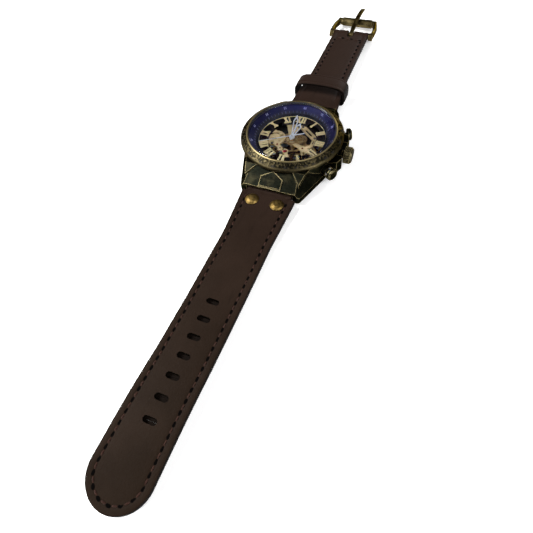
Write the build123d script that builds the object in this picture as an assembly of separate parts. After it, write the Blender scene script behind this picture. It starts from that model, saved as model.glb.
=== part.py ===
from build123d import *
from math import atan2, cos, degrees, hypot, pi, radians, sin, tan
import os

# Skeleton wristwatch, modelled lying flat: an automatic movement in a round case with hooded
# lugs, a two-piece leather strap and a roller buckle.
# Frame: origin at the centre of the case back's resting face, +X to the crown (3 o'clock),
# +Y to 12 o'clock and the buckle, +Z out of the dial. Millimetres.

os.makedirs("parts", exist_ok=True)

FIT = 0.05            # running clearance on a radius

# case
CASE_R = 20.6
CASE_BORE_R = 17.4
CASE_Z0 = 1.7
CASE_TOP = 10.2
BACK_RIM_R = 19.3
WINDOW_R = 14.2
BEZEL_R = 21.5
BEZEL_RIM_R = 18.6
BEZEL_TOP = 13.3
GLASS_R = 18.0
GLASS_Z = 11.8
MOVEMENT_R = 14.8
DIAL_WINDOW_R = 14.1

# hooded lugs and spring bars
HOOD_END_Y = 27.2
HOOD_HALF_W = 12.6
HOOD_ROOT_X = 19.5
HOOD_ROOT_Y = 7.0
HOOD_TOP_Z = 9.8
HOOD_TOP_Y = 19.5
HOOD_EDGE_TOP = 5.7
HOOD_UNDERSIDE = 4.85
CHANNEL_HALF_W = 9.9
CHANNEL_WALL_Y = 21.7
BAR_Y = 25.2
BAR_Z = 2.95
BAR_R = 0.9

# crown and pushers
STEM_Z = 5.8
CROWN_R = 3.4
CROWN_X0 = 23.0
CROWN_X1 = 26.2
PUSHER_ANGLE = 30.0
PUSHER_OUT = 25.5

# strap
LONG_END_Y = -145.5
LONG_HALF_W = 10.05
BEND_Y = -100.0
TIP_X = -0.9
TIP_R = 10.4
SHORT_HALF_W = 9.3
STRAP_LUG_HALF_W = 11.3
STRAP_TAB_HALF_W = 9.6
SHOULDER_Y = 28.15
LEATHER_T = 1.5
LINING_T = 1.0
STRAP_T = LEATHER_T + LINING_T
SHORT_BOTTOM = 2.0
HOLE_FIRST_Y = -78.8
HOLE_PITCH = 6.9
HOLE_COUNT = 7
HOLE_LENGTH = 4.8
HOLE_WIDTH = 2.1
SLIT_LENGTH = 4.2
SLIT_WIDTH = 0.4
RIVET_X = 5.3
RIVET_Y = -32.2
KEEPER_Y0 = 36.5
KEEPER_LENGTH = 7.6
KEEPER_HALF_W = 12.3
KEEPER_T = 1.2
KEEPER_FLOOR = 0.3
KEEPER_TOP = 9.9

# buckle
BUCKLE_BAR_Y = 92.2
BUCKLE_Z = 3.3
ROLLER_Y = 104.6
ROLLER_R = 2.0
ROLLER_CORE_R = 0.8
ROLLER_HALF = 8.1
FRAME_HALF_W = 12.1
FRAME_BAR_HALF_W = 1.15
FRAME_BAR_HALF_H = 1.65
FRAME_ROOT_X = 10.65
FRAME_BOW_Y = 98.6
FRAME_CORNER_X = 9.6
FRAME_COLLAR_R = 1.7
FRAME_COLLAR_X0 = 8.2
FRAME_COLLAR_X1 = 10.4
FRAME_EYE_R = 1.85
FRAME_EYE_X0 = 9.5
FRAME_EYE_X1 = 11.6
BUCKLE_BAR_HALF = 11.2
TONGUE_TIP_Y = 117.6
TONGUE_HALF_W = 1.0

# heights in the movement, from the back to the dial
ROTOR_Z = (1.95, 2.5)
WINDING_Z = (2.62, 2.92)
BRIDGE_Z = (3.0, 3.6)
FOURTH_WHEEL_Z = (3.75, 3.95)
FOURTH_PINION_Z = (4.1, 4.5)
THIRD_WHEEL_Z = (4.2, 4.4)
CENTRE_PINION_Z = (4.65, 5.15)
BARREL_TEETH_Z = (4.75, 5.05)
BARREL_Z = (4.6, 5.9)
CENTRE_WHEEL_Z = (6.15, 6.35)
THIRD_PINION_Z = (6.05, 6.45)
PLATE_Z = (6.6, 7.3)
CANNON_Z = (7.4, 7.65)
HOUR_WHEEL_Z = (7.8, 8.0)
DIAL_Z = (8.25, 8.6)
HOUR_HAND_Z = (8.95, 9.15)
MINUTE_HAND_Z = (9.4, 9.6)
SECONDS_HAND_Z = (9.85, 10.0)

# tooth counts
BARREL_TEETH = 60
CENTRE_PINION_TEETH = 10
CENTRE_TEETH = 64
THIRD_TEETH = 60
FOURTH_TEETH = 60
TRAIN_PINION_TEETH = 8
ESCAPE_PINION_TEETH = 6
ESCAPE_TEETH = 15
CANNON_TEETH = 12
MINUTE_TEETH = 36
MINUTE_PINION_TEETH = 10
HOUR_TEETH = 40
RATCHET_TEETH = 45
CROWN_WHEEL_TEETH = 48
WINDING_PINION_TEETH = 18

# dial numerals
NUMERAL_H = 3.9
NUMERAL_MAX_W = 4.7
NUMERAL_AT_R = 12.45
THICK_STROKE = 0.62
THIN_STROKE = 0.36

# arbor places on the movement
THIRD_DISTANCE = 6.66
ESCAPE_DISTANCE = 6.6
BARREL_DISTANCE = 7.35
MINUTE_DISTANCE = 3.6
CROWN_WHEEL_DISTANCE = 10.33
THIRD_ANGLE = -30.0
ESCAPE_ANGLE = -143.0
BARREL_ANGLE = 100.0
MINUTE_ANGLE = 21.0
PALLET_ANGLE = -120.0
BALANCE_AT = (-0.6, -6.9)
BALANCE_R = 4.0


def polar(distance, angle, start=(0.0, 0.0)):
    """Point at a distance and angle in degrees from a start point."""
    return (start[0] + distance * cos(radians(angle)), start[1] + distance * sin(radians(angle)))


THIRD_AT = polar(THIRD_DISTANCE, THIRD_ANGLE)
ESCAPE_AT = polar(ESCAPE_DISTANCE, ESCAPE_ANGLE)
BARREL_AT = polar(BARREL_DISTANCE, BARREL_ANGLE)
MINUTE_AT = polar(MINUTE_DISTANCE, MINUTE_ANGLE)
PALLET_AT = polar(6.6, PALLET_ANGLE)
CROWN_WHEEL_ANGLE = degrees(atan2(-BARREL_AT[1], 12.6 - BARREL_AT[0]))
CROWN_WHEEL_AT = polar(CROWN_WHEEL_DISTANCE, CROWN_WHEEL_ANGLE, BARREL_AT)


# ---------------------------------------------------------------- shape helpers

def save(node, *solids):
    """Write one sub-part, one or more separate solids, to its STEP file."""
    shape = solids[0] if len(solids) == 1 else Compound(children=list(solids))
    export_step(shape, f"parts/{node}.step")


def disc(radius, z0, z1, at=(0, 0)):
    return Pos(at[0], at[1], z0) * extrude(Circle(radius), z1 - z0)


def ring(outer, inner, z0, z1, at=(0, 0)):
    return Pos(at[0], at[1], z0) * extrude(Circle(outer) - Circle(inner), z1 - z0)


def plate(sketch, z0, z1):
    return Pos(0, 0, z0) * extrude(sketch, z1 - z0)


def turned(*profile):
    """Solid of revolution about Z from (radius, height) points."""
    return revolve(make_face(Polyline(*[(r, 0, z) for r, z in profile], close=True)), Axis.Z)


def box(x0, x1, y0, y1, z0, z1):
    middle = Pos((x0 + x1) / 2, (y0 + y1) / 2, (z0 + z1) / 2)
    return middle * Box(x1 - x0, y1 - y0, z1 - z0)


def strip(start, end, width):
    """Flat bar with round ends between two points."""
    length = hypot(end[0] - start[0], end[1] - start[1])
    turn = degrees(atan2(end[1] - start[1], end[0] - start[0]))
    middle = Pos((start[0] + end[0]) / 2, (start[1] + end[1]) / 2)
    return middle * SlotCenterToCenter(length, width, rotation=turn)


def spot(radius, at):
    return Pos(at[0], at[1]) * Circle(radius)


def polygon(*points):
    return make_face(Polyline(*points, close=True))


def arc_band(outer, inner, start, end, at=(0, 0)):
    """Part of a flat ring from one angle to another, counter-clockwise."""
    corners = [polar(1.5 * outer, start + (end - start) * i / 4) for i in range(5)]
    wedge = polygon((0, 0), *corners)
    return Pos(at[0], at[1]) * ((Circle(outer) - Circle(inner)) & wedge)


def rod_x(radius, x0, x1, y, z):
    return Pos(x0, y, z) * Rot(0, 90, 0) * extrude(Circle(radius), x1 - x0)


def mirror_y(shape):
    return mirror(shape, Plane.XZ)


def mate_phase(line_angle, phase, teeth, mate_teeth):
    """Phase of a wheel whose gap faces the tooth of its mate along the line of centres."""
    return line_angle + 180 + 180 / mate_teeth - (phase - line_angle) * teeth / mate_teeth


def gear(pitch_r, teeth, phase, share=0.40, addendum=0.85, dedendum=1.35, tip_share=0.14):
    """Toothed outline with straight-sided teeth; heights are in modules."""
    module = 2 * pitch_r / teeth
    pitch_angle = 360 / teeth
    tip_r = pitch_r + addendum * module
    root_r = pitch_r - dedendum * module
    points = []
    for i in range(teeth):
        middle = phase + i * pitch_angle
        for radius, half in ((root_r, share * 0.55), (pitch_r, share * 0.5)):
            points.append(polar(radius, middle - half * pitch_angle))
        for side in (-1, 1):
            points.append(polar(tip_r, middle + side * tip_share * 0.5 * pitch_angle))
        for radius, half in ((pitch_r, share * 0.5), (root_r, share * 0.55)):
            points.append(polar(radius, middle + half * pitch_angle))
    return polygon(*points)


def leaves(pitch_r, teeth, phase):
    """Pinion outline: few, slender leaves with deep gaps."""
    return gear(pitch_r, teeth, phase, share=0.36, addendum=0.45, dedendum=1.3, tip_share=0.22)


def crossings(rim_r, hub_r, arms, arm_w, phase=0.0):
    """Openings between the arms of a wheel."""
    openings = Circle(rim_r) - Circle(hub_r)
    for i in range(arms):
        openings -= strip((0, 0), polar(rim_r * 1.1, phase + 360 * i / arms), arm_w)
    return openings


# ---------------------------------------------------------------- case

def hood_body():
    """Sloping hood of the 6 o'clock lugs, with faceted corners."""
    outline = polygon((-HOOD_ROOT_X, -HOOD_ROOT_Y), (-HOOD_HALF_W, -HOOD_END_Y),
                      (HOOD_HALF_W, -HOOD_END_Y), (HOOD_ROOT_X, -HOOD_ROOT_Y))
    outline = fillet(outline.vertices().group_by(Axis.Y)[0], 1.5)
    hood = plate(outline, 1.2, CASE_TOP)
    slope = degrees(atan2(HOOD_TOP_Z - HOOD_EDGE_TOP, HOOD_END_Y - HOOD_TOP_Y))
    above = Pos(0, -HOOD_END_Y, HOOD_EDGE_TOP) * Rot(slope, 0, 0) * box(-30, 30, -6, 22, 0, 12)
    hood -= above
    flank_turn = degrees(atan2(HOOD_ROOT_X - HOOD_HALF_W, HOOD_END_Y - HOOD_ROOT_Y))
    for side in (-1, 1):
        corner = Pos(side * (HOOD_HALF_W - 0.5), -HOOD_END_Y, 4.3)
        facet = corner * Rot(0, 0, -side * flank_turn) * Rot(0, side * 52, 0)
        hood -= facet * box(-20, 20, -12, 40, 0, 14)
    return hood - disc(BACK_RIM_R + FIT, 0, CASE_Z0)


def hood_relief():
    """Raised five-sided plate and corner triangles on a hood."""
    house = polygon((-4.6, -HOOD_END_Y + 0.35), (-4.6, -23.4), (0, -21.0), (4.6, -23.4),
                    (4.6, -HOOD_END_Y + 0.35))
    reliefs = [house]
    for side in (-1, 1):
        reliefs.append(polygon((side * 7.6, -19.8), (side * 11.4, -24.0), (side * 13.6, -16.4)))
    slope = degrees(atan2(HOOD_TOP_Z - HOOD_EDGE_TOP, HOOD_END_Y - HOOD_TOP_Y))
    skin = Pos(0, -HOOD_END_Y, HOOD_EDGE_TOP) * Rot(slope, 0, 0) * box(-30, 30, -6, 22, -1.0, 0.45)
    return [plate(face, 4.0, CASE_TOP - 0.05) & skin for face in reliefs]


def strap_channel():
    """Room under a hood for the strap end and its spring bar."""
    room = box(-CHANNEL_HALF_W, CHANNEL_HALF_W, -HOOD_END_Y - 1, -CHANNEL_WALL_Y,
               0, HOOD_UNDERSIDE)
    bar = rod_x(0.5, -CHANNEL_HALF_W - 0.9, CHANNEL_HALF_W + 0.9, -BAR_Y, BAR_Z)
    return [room, bar]


def crown_guards():
    """Shoulders either side of the crown."""
    guards = []
    for side in (-1, 1):
        shape = polygon((18.5, side * 4.0), (22.9, side * 4.0), (23.3, side * 5.2),
                        (22.0, side * 8.4), (18.0, side * 9.6))
        guards.append(plate(shape, 3.0, 8.6))
    return guards


def case_middle():
    body = turned((CASE_BORE_R, CASE_Z0), (19.0, CASE_Z0), (CASE_R, 3.2),
                  (CASE_R, CASE_TOP), (CASE_BORE_R, CASE_TOP))
    bore = disc(CASE_BORE_R, 0, 20)
    for hood in (hood_body(), mirror_y(hood_body())):
        body += hood - bore
    for relief in hood_relief():
        body += relief - disc(CASE_R - 0.4, 0, 20)
        body += mirror_y(relief) - disc(CASE_R - 0.4, 0, 20)
    for guard in crown_guards():
        body += guard - bore
    for room in strap_channel():
        body -= room
        body -= mirror_y(room)
    body -= rod_x(1.7, 15, 22.0, 0, STEM_Z)
    for angle in (PUSHER_ANGLE, -PUSHER_ANGLE):
        body -= Rot(0, 0, angle) * rod_x(2.1, 16.5, 24, 0, STEM_Z)
    for at in screw_circle():
        body -= disc(0.4, CASE_Z0 - 1, CASE_Z0 + 1.4, at)
    return body


def bezel():
    body = turned((18.05, CASE_TOP), (BEZEL_R, CASE_TOP), (BEZEL_R, CASE_TOP + 0.9),
                  (BEZEL_R - 0.35, CASE_TOP + 1.3), (19.1, BEZEL_TOP - 0.35),
                  (BEZEL_RIM_R, BEZEL_TOP), (18.35, BEZEL_TOP),
                  (18.35, GLASS_Z), (18.05, GLASS_Z))
    for i in range(60):
        tick = box(19.5, 20.2 + 0.4 * (i % 5 == 0), -0.1, 0.1, BEZEL_TOP - 1.05, BEZEL_TOP + 1)
        body -= Rot(0, 0, 6 * i) * tick
    return body


def crystal():
    return turned((0, GLASS_Z + 0.25), (GLASS_R, GLASS_Z + 0.25), (GLASS_R, BEZEL_TOP - 0.4),
                  (17.6, BEZEL_TOP - 0.1), (0, BEZEL_TOP - 0.1))


def crystal_gasket():
    return ring(18.35, GLASS_R, GLASS_Z, BEZEL_TOP - 0.4)


def chapter_ring():
    return turned((DIAL_WINDOW_R, DIAL_Z[1]), (CASE_BORE_R - 0.05, DIAL_Z[1]),
                  (CASE_BORE_R - 0.05, CASE_TOP + 0.05), (GLASS_R, CASE_TOP + 0.05),
                  (GLASS_R, GLASS_Z - 0.05), (17.6, GLASS_Z - 0.05), (15.1, 9.1),
                  (DIAL_WINDOW_R, 8.9))


def movement_ring():
    body = ring(CASE_BORE_R - 0.02, MOVEMENT_R, BRIDGE_Z[0], DIAL_Z[0])
    body -= rod_x(1.0, 14, 18, 0, STEM_Z)
    return body


def screw_circle():
    return [polar(CASE_R - 2.3, 30 + 60 * i) for i in range(6)]


def case_back():
    """Back ring, its window and gasket, and six screws through the case's lower rim."""
    body = turned((WINDOW_R, 0), (BACK_RIM_R - 2.0, 0), (BACK_RIM_R, 0.9), (BACK_RIM_R, CASE_Z0),
                  (15.0, CASE_Z0), (15.0, 0.5), (WINDOW_R, 0.5))
    for at in screw_circle():
        body -= disc(0.4, -1, 3, at)
        body -= disc(0.75, -1, 0.95, at)
    save("case_back_ring", body)
    save("case_back_glass", disc(14.7, 0.5, 1.5) + disc(WINDOW_R - 0.02, 0, 0.5))
    save("case_back_gasket", ring(15.0, 14.7, 0.5, 1.5))
    screws = []
    for at in screw_circle():
        head = disc(0.7, 0.55, 0.95, at) + disc(0.36, 0.95, 2.9, at)
        screws.append(head - Pos(*at) * box(-0.6, 0.6, -0.1, 0.1, 0.5, 0.7))
    save("case_back_screws", *screws)


def make_case():
    save("case_middle", case_middle())
    save("bezel", bezel())
    save("crystal", crystal())
    save("crystal_gasket", crystal_gasket())
    save("chapter_ring", chapter_ring())
    save("movement_ring", movement_ring())
    case_back()


# ---------------------------------------------------------------- crown and pushers

def crown():
    grip = Circle(CROWN_R)
    for i in range(20):
        grip -= spot(0.3, polar(CROWN_R + 0.05, 18 * i))
    length = CROWN_X1 - CROWN_X0
    body = extrude(grip, length - 0.5)
    body += Pos(0, 0, length - 0.5) * extrude(Circle(CROWN_R - 0.3), 0.5, taper=30)
    body -= extrude(Circle(1.6 + FIT), 1.7)
    return Pos(CROWN_X0, 0, STEM_Z) * Rot(0, 90, 0) * body


def winding_stem():
    shaft = rod_x(0.6, 14.4, CROWN_X0 + 1.7, 0, STEM_Z)
    square = Pos(13.1, 0, STEM_Z) * Box(3.2, 0.8, 0.8)
    pivot = rod_x(0.3, 10.9, 11.6, 0, STEM_Z)
    return shaft + square + pivot


def winding_pinion():
    pitch_r = (CROWN_WHEEL_DISTANCE - RATCHET_R) * WINDING_PINION_TEETH / CROWN_WHEEL_TEETH
    wheel = extrude(gear(pitch_r, WINDING_PINION_TEETH, 0), 0.8)
    wheel += Pos(0, 0, 0.8) * extrude(Circle(1.2), 1.0)
    wheel -= extrude(Rectangle(0.9, 0.9), 3)
    return Pos(12.2, 0, STEM_Z) * Rot(0, 90, 0) * wheel


def pusher(angle):
    """Cap, neck and plunger of one push button, along its own radial line."""
    cap_x = PUSHER_OUT - 1.6
    cap = rod_x(2.5, cap_x, PUSHER_OUT - 0.4, 0, STEM_Z)
    cap += Pos(PUSHER_OUT - 0.4, 0, STEM_Z) * Rot(0, 90, 0) * extrude(Circle(2.5), 0.4, taper=45)
    neck = rod_x(1.0, 18.9, cap_x, 0, STEM_Z)
    foot = rod_x(1.3, 18.9, 19.25, 0, STEM_Z)
    return Rot(0, 0, angle) * (cap + neck + foot)


def pusher_tube(angle):
    """Sleeve in the case wall, with a counterbore for the return spring."""
    sleeve = rod_x(2.1, 19.4, 22.55, 0, STEM_Z)
    sleeve -= rod_x(1.0 + FIT, 19, 23, 0, STEM_Z)
    sleeve -= rod_x(1.65, 20.9, 23, 0, STEM_Z)
    return Rot(0, 0, angle) * sleeve


def pusher_spring(angle):
    """Return spring at its fully pressed length, as the sleeve of its coils."""
    coils = rod_x(1.6, 20.9, 22.5, 0, STEM_Z) - rod_x(1.15, 20, 23, 0, STEM_Z)
    return Rot(0, 0, angle) * coils


def make_controls():
    save("crown", crown())
    save("winding_stem", winding_stem())
    save("winding_pinion", winding_pinion())
    tube = rod_x(1.6, 18.0, CROWN_X0 + 1.4, 0, STEM_Z) + rod_x(1.7, 18.0, 21.9, 0, STEM_Z)
    save("crown_tube", tube - rod_x(0.6 + FIT, 17, 26, 0, STEM_Z))
    save("pusher_upper", pusher(PUSHER_ANGLE))
    save("pusher_lower", pusher(-PUSHER_ANGLE))
    angles = (PUSHER_ANGLE, -PUSHER_ANGLE)
    save("pusher_tubes", *[pusher_tube(angle) for angle in angles])
    save("pusher_springs", *[pusher_spring(angle) for angle in angles])


# ---------------------------------------------------------------- dial and hands

def letter(name):
    """One Roman letter standing at x = 0, and the width of its cell."""
    if name == "I":
        return strip((0.55, 0), (0.55, NUMERAL_H), THICK_STROKE), 1.1
    thick_x, thin_x = 0.4, 1.7
    if name == "V":
        foot = ((thick_x + thin_x) / 2, 0.2)
        thick = strip((thick_x, NUMERAL_H), foot, THICK_STROKE)
        return thick + strip(foot, (thin_x, NUMERAL_H), THIN_STROKE), 2.1
    thick = strip((thick_x, NUMERAL_H), (thin_x, 0), THICK_STROKE)
    return thick + strip((thick_x, 0), (thin_x, NUMERAL_H), THIN_STROKE), 2.1


def numeral(text, radius):
    """One Roman numeral with its serif bars, centred on +Y at the given radius."""
    shape = Sketch()
    width = 0
    for name in text:
        strokes, cell = letter(name)
        shape += Pos(width, 0) * strokes
        width += cell
    for y in (0.1, NUMERAL_H - 0.1):
        shape += Pos(width / 2, y) * Rectangle(width, 0.3)
    squeeze = min(1.0, NUMERAL_MAX_W / width)
    return Pos(0, radius) * scale(Pos(-width / 2, -NUMERAL_H / 2) * shape, (squeeze, 1, 1))


def dial_ring():
    """Skeleton hour ring: numerals that hang inwards from a thin ring."""
    sketch = Circle(15.2) - Circle(14.05)
    names = ["XII", "I", "II", "III", "IV", "V", "VI", "VII", "VIII", "IX", "X", "XI"]
    for hour, text in enumerate(names):
        sketch += Rot(0, 0, -30 * hour) * numeral(text, NUMERAL_AT_R)
    return plate(sketch, DIAL_Z[0], DIAL_Z[1])


def open_hand(length, width, tail, bore, z):
    """Dagger hand with an open middle and a round boss."""
    blade = polygon((-0.45, 0.8), (-width / 2, length * 0.72), (0, length),
                    (width / 2, length * 0.72), (0.45, 0.8))
    opening = polygon((-0.1, 1.9), (-width / 2 + 0.45, length * 0.7), (0, length * 0.84),
                      (width / 2 - 0.45, length * 0.7), (0.1, 1.9))
    sketch = blade - opening + Circle(1.15) + strip((0, 0), (0, -tail), 0.5)
    return plate(sketch - Circle(bore), z[0], z[1])


def make_dial():
    save("dial_ring", dial_ring())
    hour = open_hand(9.4, 2.5, 1.4, 1.0, HOUR_HAND_Z)
    save("hour_hand", Rot(0, 0, -4) * hour)
    minute = open_hand(13.8, 2.2, 1.6, 0.6, MINUTE_HAND_Z)
    save("minute_hand", Rot(0, 0, 10) * minute)
    needle = polygon((-0.16, 0), (-0.09, 14.2), (0.09, 14.2), (0.16, 0))
    seconds = needle + Circle(0.7) + strip((0, 0), (0, -5.2), 0.45) - Circle(0.25)
    save("seconds_hand", Rot(0, 0, 120) * plate(seconds, *SECONDS_HAND_Z))


# ---------------------------------------------------------------- gear train

def arbor(at, radius, z0, z1):
    return disc(radius, z0, z1, at)


def wheel_on(at, sketch, z):
    return Pos(at[0], at[1], z[0]) * extrude(sketch, z[1] - z[0])


def train_pitches():
    """Pitch radii of the train, from arbor distances and tooth counts."""
    third_pinion = THIRD_DISTANCE * TRAIN_PINION_TEETH / (CENTRE_TEETH + TRAIN_PINION_TEETH)
    fourth_pinion = THIRD_DISTANCE * TRAIN_PINION_TEETH / (THIRD_TEETH + TRAIN_PINION_TEETH)
    escape_pinion = ESCAPE_DISTANCE * ESCAPE_PINION_TEETH / (FOURTH_TEETH + ESCAPE_PINION_TEETH)
    centre_pinion = BARREL_DISTANCE * CENTRE_PINION_TEETH / (BARREL_TEETH + CENTRE_PINION_TEETH)
    cannon = MINUTE_DISTANCE * CANNON_TEETH / (CANNON_TEETH + MINUTE_TEETH)
    minute_pinion = MINUTE_DISTANCE * MINUTE_PINION_TEETH / (MINUTE_PINION_TEETH + HOUR_TEETH)
    ratchet = CROWN_WHEEL_DISTANCE * RATCHET_TEETH / (RATCHET_TEETH + CROWN_WHEEL_TEETH)
    return third_pinion, fourth_pinion, escape_pinion, centre_pinion, cannon, minute_pinion, ratchet


(THIRD_PINION_R, FOURTH_PINION_R, ESCAPE_PINION_R, CENTRE_PINION_R, CANNON_R,
 MINUTE_PINION_R, RATCHET_R) = train_pitches()


def barrel():
    """Drum with its tooth flange, the spring inside it and the arbor through it."""
    pitch_r = BARREL_DISTANCE - CENTRE_PINION_R
    phase = mate_phase(BARREL_ANGLE, BARREL_ANGLE, CENTRE_PINION_TEETH, BARREL_TEETH)
    drum = disc(pitch_r - 0.45, *BARREL_Z)
    drum += Pos(0, 0, BARREL_TEETH_Z[0]) * extrude(gear(pitch_r, BARREL_TEETH, phase), 0.3)
    drum -= disc(pitch_r - 0.85, BARREL_Z[0] + 0.2, BARREL_Z[1] - 0.2)
    drum -= disc(0.7 + FIT, 4, 7)
    save("barrel_drum", Pos(*BARREL_AT) * drum)
    turns = 7
    coils = []
    for i in range(turns):
        outer = pitch_r - 0.9 - 0.42 * i
        coils.append(ring(outer, outer - 0.2, BARREL_Z[0] + 0.25, BARREL_Z[1] - 0.25, BARREL_AT))
    web = strip(polar(pitch_r - 1.0, 0), polar(pitch_r - 1.0 - 0.42 * (turns - 1), 0), 0.2)
    joined = Pos(*BARREL_AT, BARREL_Z[0] + 0.25) * extrude(web, BARREL_Z[1] - BARREL_Z[0] - 0.5)
    for coil in coils:
        joined += coil
    save("mainspring", joined)
    shaft = arbor(BARREL_AT, 0.7, WINDING_Z[0], PLATE_Z[1] - 0.1)
    shaft += arbor(BARREL_AT, 1.4, BARREL_Z[0] + 0.3, BARREL_Z[1] - 0.3)
    save("barrel_arbor", shaft)


def winding_wheels():
    ratchet_phase = CROWN_WHEEL_ANGLE
    ratchet = gear(RATCHET_R, RATCHET_TEETH, ratchet_phase) - Circle(0.7)
    for i in range(3):
        ratchet -= spot(0.7, polar(2.6, 120 * i + 40))
    save("ratchet_wheel", wheel_on(BARREL_AT, ratchet, WINDING_Z))
    crown_r = CROWN_WHEEL_DISTANCE - RATCHET_R
    phase = mate_phase(CROWN_WHEEL_ANGLE, ratchet_phase, RATCHET_TEETH, CROWN_WHEEL_TEETH)
    wheel = gear(crown_r, CROWN_WHEEL_TEETH, phase) - Circle(1.0 + FIT)
    save("crown_wheel", wheel_on(CROWN_WHEEL_AT, wheel, WINDING_Z))


def click():
    """Pawl that rests just clear of the ratchet wheel's teeth."""
    toward = 205.0
    pivot = polar(RATCHET_R + 2.1, toward - 22, BARREL_AT)
    tip = polar(RATCHET_R + 0.75, toward, BARREL_AT)
    sketch = strip(pivot, tip, 0.7) + spot(0.8, pivot) - spot(0.4 + FIT, pivot)
    return plate(sketch, *WINDING_Z), pivot


def centre_group():
    wheel_r = THIRD_DISTANCE - THIRD_PINION_R
    wheel = gear(wheel_r, CENTRE_TEETH, THIRD_ANGLE) - crossings(wheel_r - 0.9, 1.3, 4, 0.55, 20)
    body = wheel_on((0, 0), wheel, CENTRE_WHEEL_Z)
    pinion = leaves(CENTRE_PINION_R, CENTRE_PINION_TEETH, BARREL_ANGLE)
    body += wheel_on((0, 0), pinion, CENTRE_PINION_Z)
    body += disc(0.62, CENTRE_PINION_Z[0], CENTRE_WHEEL_Z[1]) + disc(1.3, 5.95, CENTRE_WHEEL_Z[1])
    body += disc(0.6, CENTRE_WHEEL_Z[1], MINUTE_HAND_Z[0] - 0.6)
    body -= disc(0.25 + FIT, 3, 10)
    save("centre_wheel", body)
    cannon = wheel_on((0, 0), gear(CANNON_R, CANNON_TEETH, MINUTE_ANGLE), CANNON_Z)
    cannon += disc(0.72, CANNON_Z[0], MINUTE_HAND_Z[0]) + disc(0.6, MINUTE_HAND_Z[0], MINUTE_HAND_Z[1])
    cannon -= disc(0.6, CANNON_Z[0] - 1, MINUTE_HAND_Z[0] - 0.6)
    cannon -= disc(0.25 + FIT, 3, 12)
    save("cannon_pinion", cannon)


def motion_works():
    wheel_r = MINUTE_DISTANCE - CANNON_R
    phase = mate_phase(MINUTE_ANGLE, MINUTE_ANGLE, CANNON_TEETH, MINUTE_TEETH)
    wheel = gear(wheel_r, MINUTE_TEETH, phase) - crossings(wheel_r - 0.6, 0.9, 3, 0.45)
    body = wheel_on(MINUTE_AT, wheel, CANNON_Z)
    back = MINUTE_ANGLE + 180
    body += wheel_on(MINUTE_AT, leaves(MINUTE_PINION_R, MINUTE_PINION_TEETH, back),
                     (CANNON_Z[1], HOUR_WHEEL_Z[1]))
    body += arbor(MINUTE_AT, 0.25, PLATE_Z[0] + 0.1, CANNON_Z[1])
    save("minute_wheel", body)
    hour_r = MINUTE_DISTANCE - MINUTE_PINION_R
    phase = mate_phase(back, back, MINUTE_PINION_TEETH, HOUR_TEETH)
    hour = gear(hour_r, HOUR_TEETH, phase) - crossings(hour_r - 0.6, 1.2, 3, 0.45)
    pipe = disc(1.0, HOUR_WHEEL_Z[0], HOUR_HAND_Z[1])
    body = wheel_on((0, 0), hour, HOUR_WHEEL_Z) + pipe
    save("hour_wheel", body - disc(0.72 + FIT, 7, 10))


def third_group():
    wheel_r = THIRD_DISTANCE - FOURTH_PINION_R
    toward = THIRD_ANGLE + 180
    wheel = gear(wheel_r, THIRD_TEETH, toward) - crossings(wheel_r - 0.9, 1.0, 4, 0.5, 10)
    body = wheel_on(THIRD_AT, wheel, THIRD_WHEEL_Z)
    phase = mate_phase(THIRD_ANGLE, THIRD_ANGLE, CENTRE_TEETH, TRAIN_PINION_TEETH)
    body += wheel_on(THIRD_AT, leaves(THIRD_PINION_R, TRAIN_PINION_TEETH, phase), THIRD_PINION_Z)
    body += arbor(THIRD_AT, 0.4, THIRD_WHEEL_Z[0] - 0.05, THIRD_PINION_Z[0])
    body += arbor(THIRD_AT, 0.15, BRIDGE_Z[0] + 0.1, PLATE_Z[1] - 0.1)
    save("third_wheel", body)


def fourth_group():
    wheel_r = ESCAPE_DISTANCE - ESCAPE_PINION_R
    wheel = gear(wheel_r, FOURTH_TEETH, ESCAPE_ANGLE) - crossings(wheel_r - 0.9, 1.0, 4, 0.5, 30)
    body = wheel_on((0, 0), wheel, FOURTH_WHEEL_Z)
    toward = THIRD_ANGLE + 180
    phase = mate_phase(toward, toward, THIRD_TEETH, TRAIN_PINION_TEETH)
    body += wheel_on((0, 0), leaves(FOURTH_PINION_R, TRAIN_PINION_TEETH, phase), FOURTH_PINION_Z)
    body += disc(0.35, FOURTH_WHEEL_Z[1], FOURTH_PINION_Z[0])
    body += disc(0.25, BRIDGE_Z[0] + 0.1, SECONDS_HAND_Z[1] - 0.01)
    save("fourth_wheel", body)


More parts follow.
